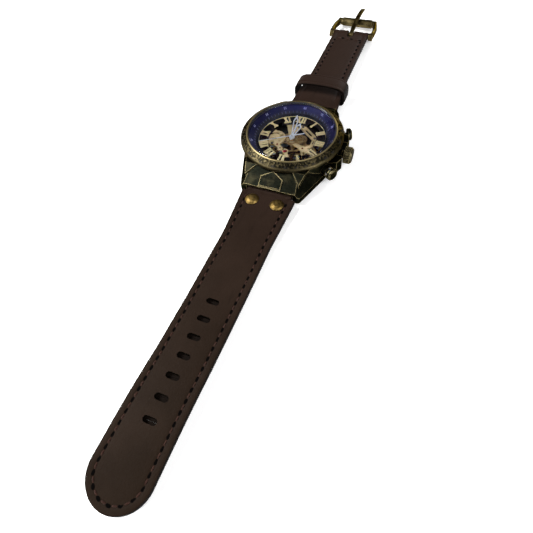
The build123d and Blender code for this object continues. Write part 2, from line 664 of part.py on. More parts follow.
def escapement():
    """Escape wheel, pallet fork, balance wheel, staff and hairspring."""
    wheel_r = 2.2
    step = 360 / ESCAPE_TEETH
    outline = []
    for i in range(ESCAPE_TEETH):
        outline += [polar(1.55, step * i), polar(wheel_r, step * i + 9), polar(wheel_r, step * i + 12),
                    polar(1.6, step * i + 15)]
    wheel = polygon(*outline) - crossings(1.35, 0.5, 4, 0.3)
    body = wheel_on(ESCAPE_AT, wheel, (5.0, 5.2))
    pinion_phase = mate_phase(ESCAPE_ANGLE, ESCAPE_ANGLE, FOURTH_TEETH, ESCAPE_PINION_TEETH)
    pinion = leaves(ESCAPE_PINION_R, ESCAPE_PINION_TEETH, pinion_phase)
    body += wheel_on(ESCAPE_AT, pinion, (3.7, 4.0))
    body += arbor(ESCAPE_AT, 0.2, 4.0, 5.0)
    body += arbor(ESCAPE_AT, 0.12, BRIDGE_Z[0] + 0.1, PLATE_Z[1] - 0.1)
    save("escape_wheel", body)

    to_wheel = degrees(atan2(ESCAPE_AT[1] - PALLET_AT[1], ESCAPE_AT[0] - PALLET_AT[0]))
    to_balance = degrees(atan2(BALANCE_AT[1] - PALLET_AT[1], BALANCE_AT[0] - PALLET_AT[0]))
    lever_end = polar(2.2, to_balance, PALLET_AT)
    fork = strip(PALLET_AT, lever_end, 0.4) + spot(0.55, PALLET_AT)
    for side in (-1, 1):
        elbow = polar(1.5, to_wheel + side * 75, PALLET_AT)
        fork += strip(PALLET_AT, elbow, 0.45)
        fork += strip(lever_end, polar(0.45, to_balance + side * 50, lever_end), 0.25)
    body = plate(fork, 5.0, 5.25) + arbor(PALLET_AT, 0.12, BRIDGE_Z[0] + 0.1, PLATE_Z[1] - 0.1)
    save("pallet_fork", body)

    rim = Circle(BALANCE_R) - Circle(BALANCE_R - 0.55)
    arms = strip(polar(BALANCE_R - 0.3, 35), polar(BALANCE_R - 0.3, 215), 0.6) + Circle(0.7)
    wheel = rim + arms
    for i in range(12):
        wheel += spot(0.22, polar(BALANCE_R, 30 * i + 5))
    save("balance_wheel", wheel_on(BALANCE_AT, wheel - Circle(0.3), (5.65, 6.0)))
    staff = arbor(BALANCE_AT, 0.3, 5.4, 6.2) + arbor(BALANCE_AT, 0.2, 4.5, 5.4)
    staff += arbor(BALANCE_AT, 0.12, BRIDGE_Z[0] + 0.1, PLATE_Z[1] - 0.1)
    staff += disc(0.8, 5.42, 5.58, BALANCE_AT)
    staff += disc(0.09, 5.32, 5.5, polar(0.55, to_balance + 180, BALANCE_AT))
    save("balance_staff", staff)
    spring = Circle(0.5) + strip((0.4, 0), (2.3, 0), 0.1)
    for i in range(5):
        spring += Circle(0.72 + 0.4 * i) - Circle(0.62 + 0.4 * i)
    save("hairspring", wheel_on(BALANCE_AT, spring - Circle(0.2), (4.6, 4.8)))


def make_train():
    barrel()
    winding_wheels()
    centre_group()
    motion_works()
    third_group()
    fourth_group()
    escapement()


# ---------------------------------------------------------------- plates, bridges, rotor

PLATE_ARBORS = (THIRD_AT, ESCAPE_AT, PALLET_AT)
PIVOT_R = {THIRD_AT: 0.15, ESCAPE_AT: 0.12, PALLET_AT: 0.12, BALANCE_AT: 0.12}
JEWEL_R = 0.6
FRONT_JEWEL_R = 0.4
BALANCE_JEWEL_R = 0.85
FOOT_R = 0.65
FOOT_RING = 14.05
STEM_SLOT = (11.8, 2.6)


def rim_point(angle):
    return polar(FOOT_RING, angle)


def stem_slot():
    x0, half = STEM_SLOT
    return Pos(x0 + 2.5, 0) * Rectangle(5.0, 2 * half)


def main_plate():
    """Skeletonised dial-side plate: a rim, arms to every arbor and openings between them."""
    sketch = Circle(MOVEMENT_R) - Circle(13.2)
    arms = [
        ((-0.5, 0.5), (-4.7, 9.4), 1.8), ((-7.2, 9.0), (-2.4, 10.1), 1.7),
        ((-4.9, 9.6), (-7.0, 12.2), 1.6), ((-3.9, 7.6), BARREL_AT, 1.5),
        ((1.7, 9.3), (8.8, 3.7), 2.5), ((1.7, 9.3), (2.6, 13.8), 1.8),
        ((8.8, 3.7), (13.3, 4.7), 1.8), ((8.8, 3.7), (8.7, -1.2), 1.5),
        ((8.7, -1.2), THIRD_AT, 1.5), ((0.6, -0.9), THIRD_AT, 1.7),
        (THIRD_AT, (9.4, -9.9), 2.2), (THIRD_AT, (12.9, -5.2), 1.6),
        (ESCAPE_AT, PALLET_AT, 1.7), (ESCAPE_AT, (-7.2, -1.2), 2.2),
        ((-10.2, -0.6), (-13.9, -1.8), 3.4), ((-8.2, 3.2), (-12.8, 5.8), 1.6),
        ((-1.0, 0.2), (-5.0, 0.8), 1.6), (BALANCE_AT, (3.9, -13.3), 1.3),
    ]
    for start, end, width in arms:
        sketch += strip(start, end, width)
    for at, radius in (((0, 0), 2.3), (BARREL_AT, 1.6), (THIRD_AT, 1.35), (ESCAPE_AT, 1.2),
                       (PALLET_AT, 1.1), (BALANCE_AT, 1.25), (MINUTE_AT, 1.2), ((-7.6, -0.1), 4.4)):
        sketch += spot(radius, at)
    sketch += strip((0, 0), MINUTE_AT, 1.6)
    windows = [
        ((-9.4, -1.4), (-7.2, -0.6), 0.9), ((-5.9, 1.6), (-5.2, 2.2), 1.1),
        ((-8.4, -2.9), (-7.4, -2.6), 0.7), ((3.5, 7.9), (6.9, 5.2), 1.0),
        ((8.8, 2.3), (8.75, 0.4), 0.6), ((7.0, -5.5), (8.4, -8.1), 0.8),
        ((-11.8, -1.3), (-12.8, -1.6), 1.1), ((-5.0, -1.5), (-4.8, -1.3), 1.0),
    ]
    for start, end, width in windows:
        sketch -= strip(start, end, width)
    sketch -= arc_band(3.4, 2.4, 70, 150, (-7.6, -0.1))
    for at in front_screws():
        sketch -= spot(0.32, at)
    for at in PLATE_ARBORS:
        sketch -= spot(FRONT_JEWEL_R, at)
    sketch -= spot(BALANCE_JEWEL_R, BALANCE_AT) + spot(0.6 + FIT, (0, 0))
    sketch -= spot(0.7 + FIT, BARREL_AT) + spot(0.25 + FIT, MINUTE_AT) + stem_slot()
    return plate(sketch & Circle(MOVEMENT_R - 0.02), *PLATE_Z)


def front_screws():
    return [(1.7, 9.3), (8.8, 3.7), (-5.9, 9.3), (-10.6, -0.6), (9.1, -9.2), (-7.6, -3.9)]


def bridge(sketch, feet, holes):
    """Back bridge with round feet up to the main plate, and holes for its arbors."""
    for angle in feet:
        sketch += spot(FOOT_R, rim_point(angle))
    for at, radius in holes:
        sketch -= spot(radius, at)
    sketch = (sketch & Circle(MOVEMENT_R - 0.05)) - stem_slot()
    body = plate(sketch, *BRIDGE_Z)
    for angle in feet:
        body += disc(FOOT_R, BRIDGE_Z[1], PLATE_Z[0], rim_point(angle))
        body -= disc(0.3, BRIDGE_Z[0], 4.2, rim_point(angle))
    return body


BRIDGE_FEET = {"barrel": (35, 155), "train": (-14, -52, -168), "pallet": (-128,), "balance": (-100, -76)}


def make_bridges():
    upper = Circle(14.6) & (Pos(0, 9.1) * Rectangle(30, 15.2))
    upper -= spot(2.6, (0, 0)) + spot(2.2, polar(3.6, 150, BARREL_AT)) + spot(1.5, (2.6, 5.4))
    barrel_bridge = bridge(upper, BRIDGE_FEET["barrel"], [(BARREL_AT, 0.7 + FIT)])
    barrel_bridge += disc(1.0, WINDING_Z[0], BRIDGE_Z[0], CROWN_WHEEL_AT)
    click_pivot = click()[1]
    barrel_bridge += disc(0.4, WINDING_Z[0], BRIDGE_Z[0], click_pivot)
    save("barrel_bridge", barrel_bridge)

    train = Circle(2.2)
    for start, end in ((rim_point(-14), THIRD_AT), (THIRD_AT, rim_point(-52)), (THIRD_AT, (0, 0)),
                       ((0, 0), ESCAPE_AT), (ESCAPE_AT, rim_point(-168))):
        train += strip(start, end, 2.2)
    holes = [((0, 0), 0.25 + FIT), (THIRD_AT, JEWEL_R), (ESCAPE_AT, JEWEL_R)]
    save("train_bridge", bridge(train, BRIDGE_FEET["train"], holes))
    pallet = strip(rim_point(-128), PALLET_AT, 1.8)
    save("pallet_bridge", bridge(pallet, BRIDGE_FEET["pallet"], [(PALLET_AT, JEWEL_R)]))
    cock = strip(rim_point(-100), BALANCE_AT, 2.2) + strip(rim_point(-76), BALANCE_AT, 2.2)
    save("balance_cock", bridge(cock, BRIDGE_FEET["balance"], [(BALANCE_AT, JEWEL_R)]))


def jewels():
    stones = []
    for at in PLATE_ARBORS + (BALANCE_AT,):
        bore = PIVOT_R[at] + 0.04
        stones.append(ring(JEWEL_R, bore, *BRIDGE_Z, at))
        front_r = BALANCE_JEWEL_R if at == BALANCE_AT else FRONT_JEWEL_R
        stones.append(ring(front_r, bore, PLATE_Z[0], PLATE_Z[1] + 0.1, at))
    return stones


def slotted_screw(at, face_z, head_h, shank_end):
    """Cheese-head screw; the slot is on the side away from its shank."""
    outward = -1 if shank_end > face_z else 1
    top = face_z + outward * head_h
    head = disc(0.55, min(face_z, top), max(face_z, top), at)
    shank = disc(0.3, min(face_z, shank_end), max(face_z, shank_end), at)
    slot = Pos(at[0], at[1], top) * Box(1.2, 0.16, 0.24)
    return head + shank - slot


def movement_screws():
    screws = []
    for feet in BRIDGE_FEET.values():
        for angle in feet:
            screws.append(slotted_screw(rim_point(angle), BRIDGE_Z[0], 0.35, 4.2))
    for at in front_screws():
        screws.append(slotted_screw(at, PLATE_Z[1], 0.25, PLATE_Z[0] + 0.2))
    return screws


def rotor():
    """Half-disc winding weight on the centre bearing."""
    sketch = arc_band(13.6, 10.2, 180, 360) + arc_band(10.4, 1.4, 196, 344) + Circle(2.7)
    for i in range(5):
        sketch -= strip(polar(5.0, 214 + 28 * i), polar(8.6, 214 + 28 * i), 1.6)
    return plate(sketch - Circle(1.5 + FIT), *ROTOR_Z)


def rotor_bearing():
    return turned((0, 1.75), (1.9, 1.75), (1.9, 1.85), (1.5, 1.85), (1.5, 2.6), (1.9, 2.6),
                  (1.9, BRIDGE_Z[0]), (0, BRIDGE_Z[0]))


def make_movement():
    save("main_plate", main_plate())
    make_bridges()
    save("click", click()[0])
    save("jewels", *jewels())
    save("movement_screws", *movement_screws())
    save("rotor", rotor())
    save("rotor_bearing", rotor_bearing())


# ---------------------------------------------------------------- strap, keeper and buckle

def side_profile(upper, lower):
    """Solid across the strap's width between two side curves given as (y, z) points."""
    top = Spline(*[(0, y, z) for y, z in upper])
    bottom = Spline(*[(0, y, z) for y, z in lower])
    ends = [Line(top @ 0, bottom @ 0), Line(top @ 1, bottom @ 1)]
    face = make_face([top, bottom] + ends)
    half = STRAP_LUG_HALF_W + 1
    return Pos(-half, 0, 0) * extrude(face, 2 * half, dir=(1, 0, 0))


def raised(points, height):
    return [(y, z + height) for y, z in points]


LONG_UNDERSIDE = [(-25.2, 1.3), (-32.0, 0.9), (-42.0, 0.45), (-60.0, 0.4), (-85.0, 0.9),
                  (-112.0, 1.9), (-132.0, 1.1), (-146.0, 0.1)]
SHORT_UNDERSIDE = [(25.2, 1.4), (30.0, 1.85), (34.0, SHORT_BOTTOM), (48.0, SHORT_BOTTOM),
                   (62.0, SHORT_BOTTOM), (76.0, SHORT_BOTTOM), (87.0, SHORT_BOTTOM),
                   (BUCKLE_BAR_Y, 2.1)]
LOOP_R = 1.75


def loop(y, z, half_w):
    return rod_x(LOOP_R, -half_w, half_w, y, z)


def bar_hole(y, z):
    return rod_x(BAR_R + FIT, -20, 20, y, z)


def lug_tab(side):
    """Narrower end of a strap half, between the lugs."""
    return Pos(0, side * (SHOULDER_Y - 3)) * Rectangle(2 * STRAP_TAB_HALF_W, 8)


def long_outline(hole_length, hole_width):
    """Upright block of the long half's outline, with its row of punched holes."""
    tip_y = LONG_END_Y + TIP_R
    left = [(-STRAP_LUG_HALF_W, -SHOULDER_Y), (-LONG_HALF_W, -50), (-LONG_HALF_W, BEND_Y),
            (TIP_X - TIP_R, tip_y)]
    right = [(TIP_X + TIP_R, tip_y), (LONG_HALF_W, BEND_Y), (LONG_HALF_W, -50),
             (STRAP_LUG_HALF_W, -SHOULDER_Y)]
    outline = polygon(*left, *right) + spot(TIP_R, (TIP_X, tip_y)) + lug_tab(-1)
    for i in range(HOLE_COUNT):
        outline -= Pos(0, HOLE_FIRST_Y - HOLE_PITCH * i) * SlotOverall(hole_length, hole_width)
    for side in (-1, 1):
        outline -= spot(0.8, (side * RIVET_X, RIVET_Y))
    return plate(outline, -2, 12)


def short_outline():
    outline = polygon((-STRAP_LUG_HALF_W, SHOULDER_Y), (-SHORT_HALF_W, 54), (-SHORT_HALF_W, 96),
                      (SHORT_HALF_W, 96), (SHORT_HALF_W, 54), (STRAP_LUG_HALF_W, SHOULDER_Y))
    outline += lug_tab(1)
    outline -= Pos(0, 94) * Rectangle(3.0, 10.4)
    return plate(outline, -2, 12)


def long_strap():
    middle = raised(LONG_UNDERSIDE, LINING_T)
    end_loop = loop(-BAR_Y, BAR_Z, STRAP_TAB_HALF_W)
    leather = side_profile(raised(LONG_UNDERSIDE, STRAP_T), middle) + end_loop
    leather = (leather - bar_hole(-BAR_Y, BAR_Z)) & long_outline(HOLE_LENGTH, HOLE_WIDTH)
    lining = side_profile(middle, LONG_UNDERSIDE) - end_loop
    lining &= long_outline(SLIT_LENGTH, SLIT_WIDTH)
    save("strap_long_leather", leather)
    save("strap_long_lining", lining - box(-20, 20, -BAR_Y, 0, 0, 9))


def short_strap():
    middle = raised(SHORT_UNDERSIDE, LINING_T)
    loops = loop(BAR_Y, BAR_Z, STRAP_TAB_HALF_W) + loop(BUCKLE_BAR_Y, BUCKLE_Z, SHORT_HALF_W)
    leather = side_profile(raised(SHORT_UNDERSIDE, STRAP_T), middle) + loops
    leather -= bar_hole(BAR_Y, BAR_Z) + bar_hole(BUCKLE_BAR_Y, BUCKLE_Z)
    lining = side_profile(middle, SHORT_UNDERSIDE) - loops
    save("strap_short_leather", leather & short_outline())
    save("strap_short_lining", lining & short_outline())


def rivets():
    """Dome-head rivets through the long strap."""
    leather = side_profile(raised(LONG_UNDERSIDE, STRAP_T), raised(LONG_UNDERSIDE, LINING_T))
    pieces = []
    for side in (-1, 1):
        dome = turned((0, 3.42), (2.8, 3.42), (2.75, 3.7), (2.2, 4.15), (1.3, 4.45), (0, 4.55))
        shank = disc(0.8, 0.95, 3.5)
        rivet = Pos(side * RIVET_X, RIVET_Y, 0) * (dome + shank)
        pieces.append(rivet - (leather - disc(0.8, 0, 9, (side * RIVET_X, RIVET_Y))))
    return pieces


def spring_bar(y, half_w):
    """Telescopic pin: a tube with two thinner tips in the lugs."""
    body = rod_x(BAR_R, -half_w + 0.3, half_w - 0.3, y, BAR_Z)
    return body + rod_x(0.45, -half_w - 0.8, half_w + 0.8, y, BAR_Z)


def keeper():
    """Free strap loop, standing open as an arch over the strap."""
    w = KEEPER_HALF_W
    floor, top = KEEPER_FLOOR, KEEPER_TOP
    left = Line((-w, floor + 2), (-w, top - 4.2)) + ThreePointArc(
        (-w, top - 4.2), (-w + 1.5, top - 1.7), (-w + 4.6, top - 0.4))
    crest = ThreePointArc((-w + 4.6, top - 0.4), (0, top), (w - 4.6, top - 0.4))
    right = ThreePointArc((w - 4.6, top - 0.4), (w - 1.5, top - 1.7), (w, top - 4.2)) + Line(
        (w, top - 4.2), (w, floor + 2))
    base = ThreePointArc((w, floor + 2), (w - 0.59, floor + 0.59), (w - 2, floor)) + Line(
        (w - 2, floor), (-w + 2, floor)) + ThreePointArc(
        (-w + 2, floor), (-w + 0.59, floor + 0.59), (-w, floor + 2))
    outer = make_face(left + crest + right + base)
    band = outer - offset(outer, -KEEPER_T)
    return Pos(0, KEEPER_Y0 + KEEPER_LENGTH, 0) * Rot(90, 0, 0) * extrude(band, KEEPER_LENGTH)


def buckle_frame():
    """D-shaped frame: two bowed limbs with an eye each, joined by the roller's cross-bar."""
    frame = rod_x(ROLLER_CORE_R, -FRAME_COLLAR_X0 - 0.2, FRAME_COLLAR_X0 + 0.2, ROLLER_Y, BUCKLE_Z)
    bow_x = FRAME_HALF_W - FRAME_BAR_HALF_W
    for side in (-1, 1):
        root = (side * FRAME_ROOT_X, BUCKLE_BAR_Y, BUCKLE_Z)
        bow = (side * bow_x, FRAME_BOW_Y, BUCKLE_Z)
        corner = (side * FRAME_CORNER_X, ROLLER_Y, BUCKLE_Z)
        path = ThreePointArc(root, bow, corner)
        start = Plane(path @ 0, x_dir=(0, 0, 1), z_dir=path % 0)
        frame += sweep(start * Ellipse(FRAME_BAR_HALF_H, FRAME_BAR_HALF_W), path)
        collar_x = sorted((side * FRAME_COLLAR_X0, side * FRAME_COLLAR_X1))
        frame += rod_x(FRAME_COLLAR_R, *collar_x, ROLLER_Y, BUCKLE_Z)
        eye_x = sorted((side * FRAME_EYE_X0, side * FRAME_EYE_X1))
        frame += rod_x(FRAME_EYE_R, *eye_x, BUCKLE_BAR_Y, BUCKLE_Z)
    return frame - rod_x(BAR_R, -BUCKLE_BAR_HALF, BUCKLE_BAR_HALF, BUCKLE_BAR_Y, BUCKLE_Z)


def buckle_roller():
    tube = rod_x(ROLLER_R, -ROLLER_HALF, ROLLER_HALF, ROLLER_Y, BUCKLE_Z)
    return tube - rod_x(ROLLER_CORE_R + FIT, -20, 20, ROLLER_Y, BUCKLE_Z)


def buckle_tongue():
    """Tongue: an eye on the buckle bar and a blade that rests over the roller."""
    rest_z = BUCKLE_Z + ROLLER_R + 0.08
    lower = [(BUCKLE_BAR_Y + 0.6, BUCKLE_Z + 0.3), (98.0, rest_z - 0.35), (ROLLER_Y, rest_z),
             (111.0, rest_z - 0.25), (TONGUE_TIP_Y, rest_z - 1.5)]
    upper = [(BUCKLE_BAR_Y - 0.2, BUCKLE_Z + 1.5), (98.0, rest_z + 0.95), (ROLLER_Y, rest_z + 1.2),
             (111.0, rest_z + 0.85), (TONGUE_TIP_Y, rest_z - 0.8)]
    top = Spline(*[(0, y, z) for y, z in upper])
    bottom = Spline(*[(0, y, z) for y, z in lower])
    face = make_face([top, bottom, Line(top @ 0, bottom @ 0), Line(top @ 1, bottom @ 1)])
    blade = Pos(-TONGUE_HALF_W, 0, 0) * extrude(face, 2 * TONGUE_HALF_W, dir=(1, 0, 0))
    eye = rod_x(1.55, -TONGUE_HALF_W, TONGUE_HALF_W, BUCKLE_BAR_Y, BUCKLE_Z)
    return blade + eye - bar_hole(BUCKLE_BAR_Y, BUCKLE_Z)


def make_strap():
    save("spring_bar_long", spring_bar(-BAR_Y, CHANNEL_HALF_W))
    save("spring_bar_short", spring_bar(BAR_Y, CHANNEL_HALF_W))
    long_strap()
    short_strap()
    save("strap_rivets", *rivets())
    save("keeper", keeper())
    save("buckle_frame", buckle_frame())
    save("buckle_bar", rod_x(BAR_R, -BUCKLE_BAR_HALF, BUCKLE_BAR_HALF, BUCKLE_BAR_Y, BUCKLE_Z))
    save("buckle_roller", buckle_roller())
    save("buckle_tongue", buckle_tongue())


make_case()
make_controls()
make_dial()
make_train()
make_movement()
make_strap()
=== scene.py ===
from math import cos, exp, hypot, pi, radians, sin, sqrt

import bmesh
import bpy
from mathutils import Matrix, Vector, noise
from mathutils.bvhtree import BVHTree


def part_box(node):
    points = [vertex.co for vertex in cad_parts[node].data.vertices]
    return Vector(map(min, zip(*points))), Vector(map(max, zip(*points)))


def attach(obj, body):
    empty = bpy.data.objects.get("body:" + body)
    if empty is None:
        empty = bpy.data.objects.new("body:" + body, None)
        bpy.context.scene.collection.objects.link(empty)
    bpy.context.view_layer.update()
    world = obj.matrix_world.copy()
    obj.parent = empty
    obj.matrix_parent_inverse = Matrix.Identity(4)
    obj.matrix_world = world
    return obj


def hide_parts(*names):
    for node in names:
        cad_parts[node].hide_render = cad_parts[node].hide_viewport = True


# Skeleton wristwatch. The CAD nodes keep their shapes and get procedural materials; the leather,
# the stitching and the printed and engraved marks are meshes made here. Lengths are millimetres
# until a mesh is built, then metres.

MM = 0.001

# camera: azimuth, elevation and roll in degrees, then distance in metres and lens in millimetres
CAMERA_ANGLES = (29.88, 57.64, -9.19)
CAMERA_TARGET = (11.02, -57.80, 0.0)
CAMERA_DISTANCE = 0.1455
CAMERA_LENS = 26.91

# lights: name, place in metres, diameter in metres, watts
LIGHTS = (
    ("key", (-0.45, -0.10, 0.50), 0.30, 8.5),
    ("fill", (0.50, -0.25, 0.40), 0.40, 4.5),
    ("back", (0.15, 0.70, 0.22), 0.25, 3.0),
    ("glass_edge", (-0.34, -0.55, 0.29), 0.12, 2.0),
)
SKY_HORIZON = 0.25
SKY_TOP = 1.15
FLOOR_GLOW = 0.28

# where looks change on the round parts: distances from the watch's axis in metres
BEZEL_INNER_RIM = (0.01905, 0.01875)
BEZEL_OUTER_RIM = (0.02085, 0.0211)
CHAPTER_BAND = (0.0163, 0.0155)
PLATE_RIM = (0.0100, 0.0103)
GLASS_BEVEL_R = 0.01762
CASE_SHADE = (0.0185, 0.0225)

# how dark metals mirror at grazing angles
GRAZING_TINT = (0.35, 0.33, 0.26)

# strap outline, as in the CAD part
SHOULDER_Y = 28.15
LUG_HALF_W = 11.3
TAB_HALF_W = 9.6
LONG_HALF_W = 10.05
LONG_TAPER_Y = 50.0
LONG_END_Y = 145.5
BEND_Y = 100.0
TIP_X = -0.9
TIP_R = 10.4
SHORT_HALF_W = 9.3
SHORT_TAPER_Y = 54.0
BAR_Y = 25.2
BUCKLE_BAR_Y = 92.2
LOOP_R = 1.75
LINING_T = 1.0
HOLE_FIRST_Y = -78.8
HOLE_PITCH = 6.9
HOLE_COUNT = 7
HOLE_LENGTH = 4.8
HOLE_WIDTH = 2.1
TONGUE_SLOT_Y = 94.9
TONGUE_SLOT_LENGTH = 14.4
TONGUE_SLOT_WIDTH = 3.0

# slits in the lining under the holes, their lips almost together
SLIT_LENGTH = 4.2
SLIT_WIDTH = 0.06
CUT_LEVELS = (-6, 14)

# leather finish: seams run from SEAM_START to their end, along the strap
SEAM_INSET = 2.5
LONG_SEAM_START = 29.5
SHORT_SEAM_START = 42.0
SHORT_SEAM_END = 84.5
SEAM_ROW_Y = 85.6
STITCH_PITCH = 3.5
STITCH_LENGTH = 1.9
THREAD_R = 0.3
# size of the dark ovals of painted shade that stand in for the insides of the awl holes
PIT_SHADE_HALF_L = 0.85
PIT_SHADE_HALF_W = 0.5
ROUNDING = 0.6
GROOVE_DEPTH = 0.22
CROWN_HEIGHT = 0.16

# keeper, as in the CAD part
KEEPER_Y0 = 36.5
KEEPER_LENGTH = 7.6
KEEPER_T = 1.2
KEEPER_AXIS_Z = 5.0

# sloping rings that carry marks: radius and height at the inner and outer edge
CHAPTER_SLOPE = ((15.1, 9.1), (17.6, 11.75))
BEZEL_SLOPE = ((19.1, 12.95), (21.15, 11.5))
# speed scale of the bezel: speed times angle in degrees is constant
SPEEDS = (400, 300, 240, 200, 180, 160, 150, 140, 130, 120, 110, 100, 95, 90, 85, 80, 75, 70,
          65, 60)
FULL_TURN_SPEED = 21600.0
MARK_HALF_T = 0.02
MARK_LIFT = 0.03

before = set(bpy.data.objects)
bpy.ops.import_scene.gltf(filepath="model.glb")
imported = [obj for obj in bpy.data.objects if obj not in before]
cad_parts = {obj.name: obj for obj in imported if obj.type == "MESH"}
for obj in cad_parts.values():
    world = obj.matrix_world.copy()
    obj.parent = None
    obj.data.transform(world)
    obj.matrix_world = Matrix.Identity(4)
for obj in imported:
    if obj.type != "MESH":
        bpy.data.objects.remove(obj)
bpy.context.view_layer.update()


# ---------------------------------------------------------------- camera, light and floor

def camera():
    """The viewing angle of the picture: from the strap's tip, above and to the right."""
    azimuth, elevation, roll = (radians(angle) for angle in CAMERA_ANGLES)
    target = Vector(CAMERA_TARGET) * MM
    back = Vector((sin(azimuth) * cos(elevation), -cos(azimuth) * cos(elevation), sin(elevation)))
    level_x = Vector((0, 0, 1)).cross(back).normalized()
    level_y = back.cross(level_x)
    x_axis = level_x * cos(roll) + level_y * sin(roll)
    y_axis = level_y * cos(roll) - level_x * sin(roll)
    data = bpy.data.cameras.new("camera")
    data.sensor_width = 36.0
    data.lens = CAMERA_LENS
    data.clip_start = 0.005
    obj = bpy.data.objects.new("camera", data)
    bpy.context.scene.collection.objects.link(obj)
    turn = Matrix((x_axis, y_axis, back)).transposed().to_4x4()
    obj.matrix_world = Matrix.Translation(target + back * CAMERA_DISTANCE) @ turn
    bpy.context.scene.camera = obj


def area_light(name, at, size, watts):
    data = bpy.data.lights.new(name, "AREA")
    data.shape = "DISK"
    data.size = size
    data.energy = watts
    obj = bpy.data.objects.new(name, data)
    bpy.context.scene.collection.objects.link(obj)
    at = Vector(at)
    obj.matrix_world = Matrix.Translation(at) @ (-at).to_track_quat("-Z", "Y").to_matrix().to_4x4()


def studio():
    """White room light that falls off towards the horizon, and the lights."""
    world = bpy.data.worlds.new("studio")
    bpy.context.scene.world = world
    world.use_nodes = True
    nodes, links = world.node_tree.nodes, world.node_tree.links
    coords = nodes.new("ShaderNodeTexCoord")
    split = nodes.new("ShaderNodeSeparateXYZ")
    fall = nodes.new("ShaderNodeMapRange")
    fall.inputs["From Max"].default_value = 0.9
    fall.inputs["To Min"].default_value = SKY_HORIZON
    fall.inputs["To Max"].default_value = SKY_TOP
    links.new(coords.outputs["Generated"], split.inputs[0])
    links.new(split.outputs["Z"], fall.inputs["Value"])
    links.new(fall.outputs[0], nodes["Background"].inputs["Strength"])
    for light in LIGHTS:
        area_light(*light)
    bpy.context.scene.view_settings.view_transform = "Standard"


# ---------------------------------------------------------------- materials

class Tree:
    """Short calls that build one material's nodes."""

    def __init__(self, name):
        self.material = bpy.data.materials.new(name)
        self.material.use_nodes = True
        self.nodes = self.material.node_tree.nodes
        self.shader = self.nodes["Principled BSDF"]
        self.coords = self.nodes.new("ShaderNodeTexCoord")

    def add(self, kind, **settings):
        node = self.nodes.new("ShaderNode" + kind)
        for key, value in settings.items():
            setattr(node, key, value)
        return node

    def feed(self, socket, value):
        if isinstance(value, bpy.types.NodeSocket):
            self.material.node_tree.links.new(value, socket)
        elif isinstance(value, tuple) and len(value) == 3 and socket.type == "RGBA":
            socket.default_value = (*value, 1.0)
        else:
            socket.default_value = value

    def set(self, **values):
        for key, value in values.items():
            self.feed(self.shader.inputs[key.replace("_", " ")], value)

    def place(self, stretch=(1, 1, 1)):
        mapping = self.add("Mapping")
        mapping.inputs["Scale"].default_value = stretch
        self.feed(mapping.inputs["Vector"], self.coords.outputs["Object"])
        return mapping.outputs["Vector"]

    def noise(self, scale, detail=4.0, stretch=(1, 1, 1), roughness=0.55):
        node = self.add("TexNoise")
        self.feed(node.inputs["Vector"], self.place(stretch))
        node.inputs["Scale"].default_value = scale
        node.inputs["Detail"].default_value = detail
        node.inputs["Roughness"].default_value = roughness
        return node.outputs["Fac"]

    def cells(self, scale, stretch=(1, 1, 1), feature="F1"):
        node = self.add("TexVoronoi", feature=feature)
        self.feed(node.inputs["Vector"], self.place(stretch))
        node.inputs["Scale"].default_value = scale
        return node.outputs["Distance"]

    def level(self, value, low, high, to_low=0.0, to_high=1.0):
        node = self.add("MapRange", interpolation_type="SMOOTHSTEP")
        self.feed(node.inputs["Value"], value)
        for key, number in zip(("From Min", "From Max", "To Min", "To Max"),
                               (low, high, to_low, to_high)):
            node.inputs[key].default_value = number
        return node.outputs[0]

    def math(self, operation, a, b=0.0):
        node = self.add("Math", operation=operation)
        self.feed(node.inputs[0], a)
        self.feed(node.inputs[1], b)
        return node.outputs[0]

    def mix(self, share, a, b):
        node = self.add("MixRGB")
        for socket, value in zip(node.inputs, (share, a, b)):
            self.feed(socket, value)
        return node.outputs[0]

    def edges(self, radius, low=0.01, high=0.22):
        """1 on a shape's edges and 0 on its faces."""
        rounded = self.add("Bevel", samples=4)
        rounded.inputs["Radius"].default_value = radius
        real = self.add("NewGeometry")
        dot = self.add("VectorMath", operation="DOT_PRODUCT")
        self.feed(dot.inputs[0], rounded.outputs["Normal"])
        self.feed(dot.inputs[1], real.outputs["Normal"])
        return self.level(self.math("SUBTRACT", 1.0, dot.outputs["Value"]), low, high)

    def radius(self):
        """Distance from the watch's axis, in metres."""
        flat = self.add("VectorMath", operation="MULTIPLY")
        self.feed(flat.inputs[0], self.coords.outputs["Object"])
        flat.inputs[1].default_value = (1, 1, 0)
        length = self.add("VectorMath", operation="LENGTH")
        self.feed(length.inputs[0], flat.outputs[0])
        return length.outputs["Value"]

    def up(self):
        """Upward part of the surface's own normal."""
        split = self.add("SeparateXYZ")
        self.feed(split.inputs[0], self.coords.outputs["Normal"])
        return split.outputs["Z"]

    def along(self):
        """Place along the strap, in metres."""
        split = self.add("SeparateXYZ")
        self.feed(split.inputs[0], self.coords.outputs["Object"])
        return split.outputs["Y"]

    def bump(self, height, distance, strength=1.0):
        node = self.add("Bump")
        node.inputs["Strength"].default_value = strength
        node.inputs["Distance"].default_value = distance
        self.feed(node.inputs["Height"], height)
        self.feed(self.shader.inputs["Normal"], node.outputs[0])


